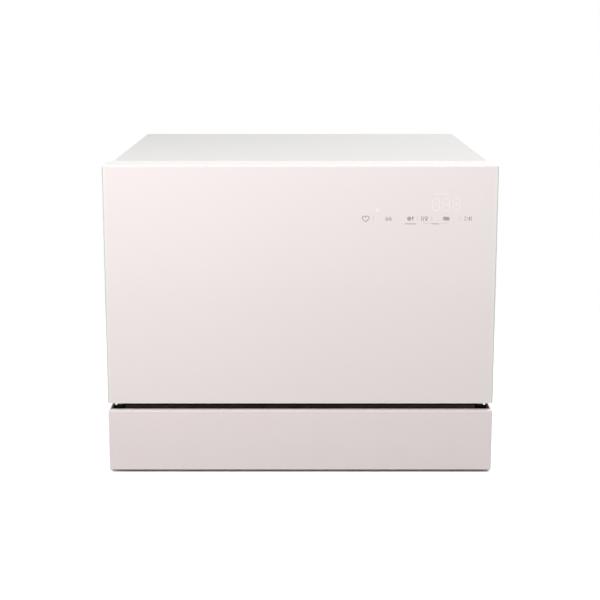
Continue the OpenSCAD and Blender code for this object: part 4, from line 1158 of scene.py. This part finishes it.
@dataclass
class TouchPanel:
    """Printed marks, and the display's digits in white ink as a painted glow, a hair in front of
    the glass; sizes in mm.
    """

    body: str = DOOR
    row_z: float = 371.0
    icon_stroke: float = 0.7
    fine_stroke: float = 0.42
    bold_stroke: float = 0.95
    ink: float = 0.08
    stand_off: float = 0.02
    places: tuple[tuple[Glyph, float], ...] = (
        (Glyph.HEART, 91.1), (Glyph.DROPS, 122.8), (Glyph.PLATE, 153.6), (Glyph.GLASS, 173.0),
        (Glyph.WAVES, 203.4), (Glyph.PLAY, 233.7))
    dividers: tuple[float, ...] = (102.1, 163.0, 183.2, 223.5)
    divider_half: float = 3.6
    captions: tuple[tuple[float, int], ...] = ((146.4, 6), (183.4, 4))
    caption_drop: float = 7.4
    dash: float = 1.7
    dash_pitch: float = 2.6
    bracket: tuple[tuple[Flat, Flat], ...] = (((170.8, 0.9), (181.5, 0.0)),
                                              ((194.5, 0.0), (206.3, 0.9)))
    bracket_drop: float = 7.2
    drop: Flat = (107.5, 383.5)
    bars: tuple[float, ...] = (187.0, 192.0, 197.0, 202.0)
    bar_z: float = 406.0
    bar: float = 3.2
    digits_at: Flat = (184.0, 382.5)
    digit: Flat = (9.2, 16.5)
    digit_pitch: float = 14.4
    digit_gap: float = 0.9
    digit_count: int = 3
    front: float = field(init=False)

    def __post_init__(self) -> None:
        """Finds where the ink's back lies, in metres."""
        self.front = Box.of("door_glass").lo.y - self.stand_off * MM

    def build(self) -> None:
        """Builds the printed row, its fine lines and the digits."""
        icons = [[(x + dx, self.row_z + dz) for dx, dz in path]
                 for glyph, x in self.places for path in STROKES[glyph]]
        low, high = self.row_z - self.divider_half, self.row_z + self.divider_half
        line_z = self.row_z - self.bracket_drop
        fine = [[(x, low), (x, high)] for x in self.dividers]
        fine += [[(x, line_z + rise) for x, rise in side] for side in self.bracket]
        dash_z = self.row_z - self.caption_drop
        starts = [x + self.dash_pitch * i for x, count in self.captions for i in range(count)]
        dashes = [[(x, dash_z), (x + self.dash, dash_z)] for x in starts]
        self.ribbons("touch_icons", icons, self.icon_stroke, PRINT)
        self.ribbons("touch_fine_lines", fine, self.fine_stroke, FAINT_PRINT)
        self.ribbons("touch_captions", dashes, self.bold_stroke, PRINT)
        # The digits and indicators carry the display's painted glow.
        self.ribbons("display_digits", self.digits() + self.indicators(), self.bold_stroke, DISPLAY_GLOW_INK)

    def indicators(self) -> list[Path]:
        """A small drop at the left and a row of short bars over the digits.

        Returns:
            Their strokes, in mm.
        """
        x, z = self.drop
        bars = [[(left, self.bar_z), (left + self.bar, self.bar_z)] for left in self.bars]
        return [[(x + dx, z + dz) for dx, dz in DROP], *bars]

    def digits(self) -> list[Path]:
        """Seven-segment strokes of a row of eights.

        Returns:
            The strokes, in mm.
        """
        gap = self.digit_gap
        out = []
        for i in range(self.digit_count):
            x0, z0 = self.digits_at[0] + i * self.digit_pitch, self.digits_at[1]
            x1, z1 = x0 + self.digit[0], z0 + self.digit[1]
            mid = (z0 + z1) / 2
            out += [[(x0 + gap, z), (x1 - gap, z)] for z in (z0, mid, z1)]
            for a, b in ((z0, mid), (mid, z1)):
                out += [[(x0, a + gap), (x0, b - gap)], [(x1, b - gap), (x1, a + gap)]]
        return out

    def ribbons(self, name: str, paths: list[Path], width: float, finish: Finish) -> None:
        """Makes flat ribbons along paths on the glass's face.

        Args:
            name: the new piece's name.
            paths: middle lines, as (x, z) in mm; one that ends where it starts is closed.
            width: the ribbons' width, in mm.
            finish: their finish.
        """
        bm = bmesh.new()
        for path in paths:
            left, right = [], []
            last = len(path) - 1
            for i, (x, z) in enumerate(path):
                before, after = path[max(i - 1, 0)], path[min(i + 1, last)]
                if path[0] == path[-1] and i in (0, last):
                    before, after = path[-2], path[1]
                along = Vector((after[0] - before[0], after[1] - before[1]))
                across = Vector((-along.y, along.x)).normalized() * width / 2
                left.append((x + across.x, z + across.y))
                right.append((x - across.x, z - across.y))
            near, far = ([[bm.verts.new((x * MM, y, z * MM)) for x, z in side]
                          for side in (left, right)]
                         for y in (self.front - self.ink * MM, self.front))
            for i in range(last):
                bm.faces.new((near[0][i], near[0][i + 1], near[1][i + 1], near[1][i]))
                bm.faces.new((far[0][i], far[1][i], far[1][i + 1], far[0][i + 1]))
                for a, b in ((near[0], far[0]), (far[1], near[1])):
                    bm.faces.new((a[i], b[i], b[i + 1], a[i + 1]))
            for i in (0, last):
                bm.faces.new((near[0][i], near[1][i], far[1][i], far[0][i]))
        bmesh.ops.recalc_face_normals(bm, faces=bm.faces)
        dress(link(name, plain_mesh(name, bm)), finish, self.body)


@dataclass
class Door:
    """Glass front, shell, steel inner face and everything that is mounted in the door."""

    body: str = DOOR
    polish_mm: float = 0.3
    shell_edge_mm: float = 0.6
    corner: float = 2.2 * MM
    glass_roll: float = 0.7 * MM
    pin_y: float = -0.232
    pin_z: float = 0.127
    spring_r: float = 7.2 * MM
    spring_wire: float = 1.1 * MM
    spring_turns: int = 6
    spring_steps: int = 20
    spring_inset: float = 1.32 * MM

    def build(self) -> None:
        """Builds and dresses the door's pieces."""
        softened("door_glass", self.polish_mm, GLASS, self.body, corner=self.corner,
                 roll=self.glass_roll)
        softened("door_shell", self.shell_edge_mm, SHELL_PLASTIC, self.body, corner=self.corner)
        for node, edge_mm, finish, body in (
                ("door_liner", 0.7, LINER_STEEL, self.body),
                ("dispenser_body", 0.8, GREY_PLASTIC, self.body),
                ("dispenser_lid", 0.8, GREY_PLASTIC, "dispenser_lid"),
                ("dispenser_release", 0.5, LIGHT_PLASTIC, "dispenser_release"),
                ("rinse_cap", 0.5, BLUE_PLASTIC, "rinse_cap"),
                ("latch_pawl", 0.4, LIGHT_PLASTIC, "latch_pawl"),
                ("latch_case", 0.5, LIGHT_PLASTIC, self.body),
                ("latch_strike", 0.2, ZINC, CABINET)):
            softened(node, edge_mm, finish, body)
        repaint({"touch_board": BOARD, "display_module": DARK_GLASS, "hinge_housings": ZINC})
        self.springs()
        TouchPanel().build()

    def springs(self) -> None:
        """Wound balance springs round the inner ends of the pins."""
        whole, wire = Box.of("hinge_springs"), self.spring_wire
        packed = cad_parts["hinge_springs"].data.vertices
        first = min(abs(v.co.x) for v in packed) + self.spring_inset
        helix = coil(self.spring_r, (whole.hi.x - self.spring_inset - first) / self.spring_turns,
                     self.spring_turns, self.spring_steps)
        paths = []
        for side in (-1, 1):
            path = [(side * (first + along), self.pin_y + across, self.pin_z + up)
                    for along, across, up in helix]
            path.append((path[-1][0], whole.hi.y - wire, self.pin_z))
            paths.append(path)
        made = WIRES.run("balance_springs", paths_mesh("spring_paths", paths), ZINC,
                         Wire_radius=wire)
        dress(made, ZINC, self.body, "hinge_springs")


# ---- inside ---------------------------------------------------------------------------------

@dataclass
class WashSpace:
    """Tub, seals, filter, spray arms and rails."""

    body: str = CABINET
    riser_edge_mm: float = 1.5
    arm_edge_mm: float = 1.1

    def build(self) -> None:
        """Builds and dresses the wash space."""
        for node, edge_mm, finish in (
                ("tub", 0.0, TUB_STEEL), ("tub_bottom", 0.0, LEVEL_STEEL),
                ("tub_frame", 0.3, LEVEL_STEEL), ("door_seals", 0.8, SEAL_RUBBER),
                ("rack_rails", 0.5, LINER_STEEL), ("filter_plate", 0.0, LINER_STEEL)):
            softened(node, edge_mm, finish, self.body)
        softened("filter_cup", 0.5, DARK_GREY, "filter_cup")
        softened("spray_riser", self.riser_edge_mm, GREY_PLASTIC, self.body, 3)
        for arm in ("lower_spray_arm", "upper_spray_arm"):
            softened(arm, self.arm_edge_mm, GREY_PLASTIC, arm, 3)
        repaint({"insulation_blanket": FELT})


@dataclass
class DishRack:
    """Nylon-coated wire rack with its tines, shelves, wheels and basket."""

    body: str = RACK
    wire_r: float = 2.0 * MM
    weld: float = 3.6 * MM
    pitch: float = 28 * MM
    floor_pitch: float = 44 * MM
    end_pitch: float = 42 * MM
    side_pitch: float = 44.8 * MM
    front_h: float = 66 * MM
    side_front: float = 4.2 * MM
    side_back: float = 8 * MM
    side_inset: float = 6 * MM
    tine_inset: float = 4 * MM
    bracket_inset: float = 4 * MM
    bracket_thick: float = 3.4 * MM
    bracket_r: float = 6 * MM
    bracket_top: float = 17 * MM
    bracket_half: float = 7 * MM
    bracket_edge: float = 0.5 * MM
    axle_r: float = 2.4 * MM
    axle_short: float = 0.6 * MM

    def build(self) -> None:
        """Builds the wires of each body and dresses the rest."""
        self.floor()
        self.ends()
        self.sides()
        self.tines("plate_tines", self.body)
        self.tines("folding_tines", "folding_tines")
        self.shelf("cup_shelf_front")
        self.shelf("cup_shelf_rear")
        for node, edge_mm in (("cutlery_basket", 0.35), ("front_wheels", 0.6),
                              ("rear_wheels", 0.6)):
            softened(node, edge_mm, GREY_PLASTIC, node)

    def wires(self, node: str, body: str, paths: list[list[Point]]) -> None:
        """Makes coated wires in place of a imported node.

        Args:
            node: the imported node.
            body: the body that they ride on.
            paths: their middle lines.
        """
        seed = paths_mesh(node + "_paths", paths)
        made = WIRES.run(node + "_wires", seed, NYLON, Wire_radius=self.wire_r)
        dress(made, NYLON, body, node)

    def floor(self) -> None:
        """Crosswise wires under lengthwise ones."""
        box, r = Box.of("rack_floor"), self.wire_r
        low, deck, inset = box.lo.z + r, box.hi.z - r, r + self.weld
        paths = [[(box.lo.x + r, y, low), (box.hi.x - r, y, low)]
                 for y in spread(box.lo.y + r, box.hi.y - r, self.floor_pitch)]
        paths += [[(x, box.lo.y + r, deck), (x, box.hi.y - r, deck)]
                  for x in spread(box.lo.x + inset, box.hi.x - inset, self.pitch)]
        self.wires("rack_floor", self.body, paths)

    def ends(self) -> None:
        """The low front wall and the high back wall, upright wires welded to level ones."""
        box, r = Box.of("rack_ends"), self.wire_r
        deck = Box.of("rack_floor").hi.z
        left, right = box.lo.x + r, box.hi.x - r
        paths = []
        for y, weld, top in ((box.lo.y + r, self.weld, deck + self.front_h),
                             (box.hi.y - r, -self.weld, box.hi.z)):
            paths += [[(x, y, box.lo.z + r), (x, y, top - r)]
                      for x in spread(left, right, self.end_pitch)]
            paths += [[(left, y + weld, z), (right, y + weld, z)]
                      for z in (top - r, (deck + top) / 2)]
        self.wires("rack_ends", self.body, paths)

    def sides(self) -> None:
        """Both side walls, and the brackets of the wheels."""
        ends, floor_box, r = Box.of("rack_ends"), Box.of("rack_floor"), self.wire_r
        half, low, top = floor_box.hi.x, floor_box.lo.z + r, ends.hi.z - r
        y0, y1 = ends.lo.y + self.side_front + r, ends.hi.y - self.side_back - r
        wheels = [Box.of("front_wheels").mid.y, Box.of("rear_wheels").mid.y]
        uprights = spread(y0 + self.side_inset, y1 - self.side_inset, self.side_pitch) + wheels
        paths = []
        for side in (-1, 1):
            x, inner = side * (half - r), side * (half - r - self.weld)
            paths += [[(x, y, low), (x, y, top)] for y in uprights]
            paths += [[(inner, y0, z), (inner, y1, z)]
                      for z in (top, (floor_box.hi.z + ends.hi.z) / 2)]
        self.wires("rack_sides", self.body, paths)
        self.wheel_brackets(half - self.bracket_inset, wheels)

    def wheel_brackets(self, start: float, wheels: list[float]) -> None:
        """Moulded bracket with a rounded foot, and the axle that each wheel turns on.

        Args:
            start: how far from the middle both begin.
            wheels: y of each pair of wheels.
        """
        wheel = Box.of("front_wheels")
        foot = arc(0, 0, self.bracket_r, 180, 360, 10)
        outline = [*foot, (self.bracket_half, self.bracket_top),
                   (-self.bracket_half, self.bracket_top)]
        axle = arc(0, 0, self.axle_r, 0, 360, 20)[:-1]
        bm = bmesh.new()
        for side in (-1, 1):
            for y in wheels:
                for end, shape in ((start + self.bracket_thick, outline),
                                   (wheel.hi.x - self.axle_short, axle)):
                    near, far = ([bm.verts.new((side * x, y + dy, wheel.mid.z + dz))
                                  for dy, dz in shape] for x in (start, end))
                    for i in range(len(shape)):
                        bm.faces.new((near[i - 1], near[i], far[i], far[i - 1]))
                    bm.faces.new(near)
                    bm.faces.new(far)
        bmesh.ops.recalc_face_normals(bm, faces=bm.faces)
        obj = link("wheel_brackets", plain_mesh("wheel_brackets", bm))
        bevel = obj.modifiers.new("round", "BEVEL")
        bevel.width, bevel.segments, bevel.limit_method = self.bracket_edge, 2, "ANGLE"
        settle(obj)
        smooth(obj.data)
        dress(obj, GREY_PLASTIC, self.body)

    def tines(self, node: str, body: str) -> None:
        """A row of upright tines on one level wire.

        Args:
            node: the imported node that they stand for.
            body: the body that they ride on.
        """
        box, r = Box.of(node), self.wire_r
        bar_y, tine_y, low = box.lo.y + r, box.hi.y - r, box.lo.z + r
        paths = [[(box.lo.x + r, bar_y, low), (box.hi.x - r, bar_y, low)]]
        paths += [[(x, tine_y, low), (x, tine_y, box.hi.z - r)] for x in
                  spread(box.lo.x + self.tine_inset, box.hi.x - self.tine_inset, self.pitch)]
        self.wires(node, body, paths)

    def shelf(self, node: str) -> None:
        """A wire shelf, its lengthwise wires over three crosswise ones.

        Args:
            node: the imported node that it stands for, and its body.
        """
        box, r = Box.of(node), self.wire_r
        left, right, top, low = box.lo.x + r, box.hi.x - r, box.hi.z - r, box.lo.z + r
        inset = r + self.tine_inset
        paths = [[(x, box.lo.y + r, top), (x, box.hi.y - r, top)]
                 for x in spread(left, right, self.pitch)]
        paths += [[(left, y, low), (right, y, low)]
                  for y in (box.lo.y + inset, box.mid.y, box.hi.y - inset)]
        self.wires(node, node, paths)


# ---- studio ---------------------------------------------------------------------------------

@dataclass(frozen=True)
class Lamp:
    """One square area lamp."""

    name: str
    place: Point
    aim: Point
    size: float
    power: float
    colour: Colour = (1.0, 1.0, 1.0)
    mirrored: bool = True

    def build(self) -> None:
        """Adds the lamp, facing its aim; glossy faces show it only if it is mirrored."""
        data = bpy.data.lights.new(self.name, "AREA")
        data.shape = "SQUARE"
        data.size, data.energy, data.color = self.size, self.power, self.colour
        obj = link(self.name, data)
        obj.location = self.place
        facing = Vector(self.aim) - Vector(self.place)
        obj.rotation_euler = facing.to_track_quat("-Z", "Y").to_euler()
        obj.visible_glossy = self.mirrored


WARM = (1.0, 0.99, 0.985)
# A soft front light and a smaller key from the upper left, with weaker lights all round.
LAMPS = (
    Lamp("front", (-0.4, -2.4, 1.9), (0, -0.25, 0.3), 1.2, 20, WARM),
    Lamp("key", (-0.9, -1.2, 1.3), (0, -0.25, 0.3), 0.9, 14, WARM),
    Lamp("high", (0.5, -1.1, 1.4), (0.1, -0.25, 0.35), 0.8, 3.8, WARM),
    Lamp("rear", (0.9, 0.5, 1.6), (0.1, 0, 0.4), 1.2, 14),
    Lamp("back", (-2.3, 1.7, 0.8), (0, 0, 0.2), 1.2, 16, mirrored=False),
    Lamp("low", (0.5, -3.3, 0.4), (0, -0.25, 0.1), 0.6, 7, (1.0, 0.985, 0.98), mirrored=False),
)


@dataclass
class Studio:
    """Camera at the photograph's viewpoint, soft light and a white surround."""

    distance: float = 1.800
    offset_x: float = -2.98 * MM
    height: float = 0.6487
    pitch: float = 10.364
    focal_px: float = 1306.37
    sensor: float = 36.0
    shift_x: float = 0.003
    shift_y: float = -0.075
    bounce: float = 0.25
    paper: float = 1.45
    floor_half: float = 1.6
    fade: Flat = (0.45, 1.1)
    sky: float = 0.36
    sheen: float = 0.13

    def build(self) -> None:
        """Sets up the view and the light."""
        self.camera()
        for lamp in LAMPS:
            lamp.build()
        self.surround()
        self.floor()
        bpy.context.scene.view_settings.view_transform = "Standard"

    def camera(self) -> None:
        """Creates the scene's camera."""
        data = bpy.data.cameras.new("photo_view")
        data.sensor_width = self.sensor
        data.lens = self.sensor * self.focal_px / FRAME_PX
        data.shift_x, data.shift_y = self.shift_x, self.shift_y
        obj = link("photo_view", data)
        obj.location = (self.offset_x, CAD_BOX[0][1] - self.distance, self.height)
        obj.rotation_euler = (math.radians(90 - self.pitch), 0, 0)
        bpy.context.scene.camera = obj

    def surround(self) -> None:
        """World that shows as white, lights softly and is a little brighter in reflections."""
        world = bpy.data.worlds.new("white_surround")
        bpy.context.scene.world = world
        world.use_nodes = True
        tree = world.node_tree
        path = tree.nodes.new("ShaderNodeLightPath").outputs
        level = add_node(tree, "ShaderNodeMath", {"operation": "MULTIPLY_ADD"},
                         {0: path["Is Glossy Ray"], 1: self.sheen, 2: self.sky})
        seen = add_node(tree, "ShaderNodeMath", {"operation": "MAXIMUM"},
                        {0: path["Is Camera Ray"], 1: level.outputs[0]})
        background = tree.nodes["Background"].inputs
        background["Color"].default_value = (1, 1, 1, 1)
        tree.links.new(seen.outputs[0], background["Strength"])

    def floor(self) -> None:
        """Wide floor, seen as white with the contact shadow left in."""
        half = self.floor_half
        corners = [(-half, -half, 0), (half, -half, 0), (half, half, 0), (-half, half, 0)]
        mesh = bpy.data.meshes.new("floor")
        mesh.from_pydata(corners, [], [(0, 1, 2, 3)])
        shader = Shader("white_floor")
        grey = (self.bounce,) * 3
        shader.feed(Base_Color=shader.blend(shader.noise(3.0, 2.0), grey, scaled(grey, 1.02)),
                    Roughness=0.9, Specular_IOR_Level=0.0)
        far = (shader.x * shader.x + shader.y * shader.y) ** 0.5
        paper = shader.add("ShaderNodeBsdfDiffuse", {}, {"Color": (*(self.paper,) * 3, 1)})
        glow = shader.add("ShaderNodeEmission", {}, {"Color": (1, 1, 1, 1)})
        seen = shader.add("ShaderNodeMixShader", {}, {0: far.rise(*self.fade), 1: paper, 2: glow})
        camera = shader.add("ShaderNodeLightPath", {}, {}, "Is Camera Ray")
        bounced = Socket(shader, shader.surface.outputs[0])
        mix = shader.add("ShaderNodeMixShader", {}, {0: camera, 1: bounced, 2: seen})
        out = next(n for n in shader.tree.nodes if n.type == "OUTPUT_MATERIAL")
        shader.tree.links.new(mix.link, out.inputs["Surface"])
        mesh.materials.append(shader.material)
        link("floor", mesh)


WIRES = wire_tree()


def main() -> None:
    """Builds the studio and every sub-assembly."""
    logging.basicConfig(level=logging.INFO, format="%(message)s")
    parts: list[tuple[str, Callable[[], None]]] = [
        ("studio", Studio().build), ("casing", Casing().build), ("base", Base().build),
        ("door", Door().build), ("wash space", WashSpace().build), ("rack", DishRack().build),
    ]
    for name, build in parts:
        build()
        log.info("built the %s", name)


if __name__ == "__main__":
    main()
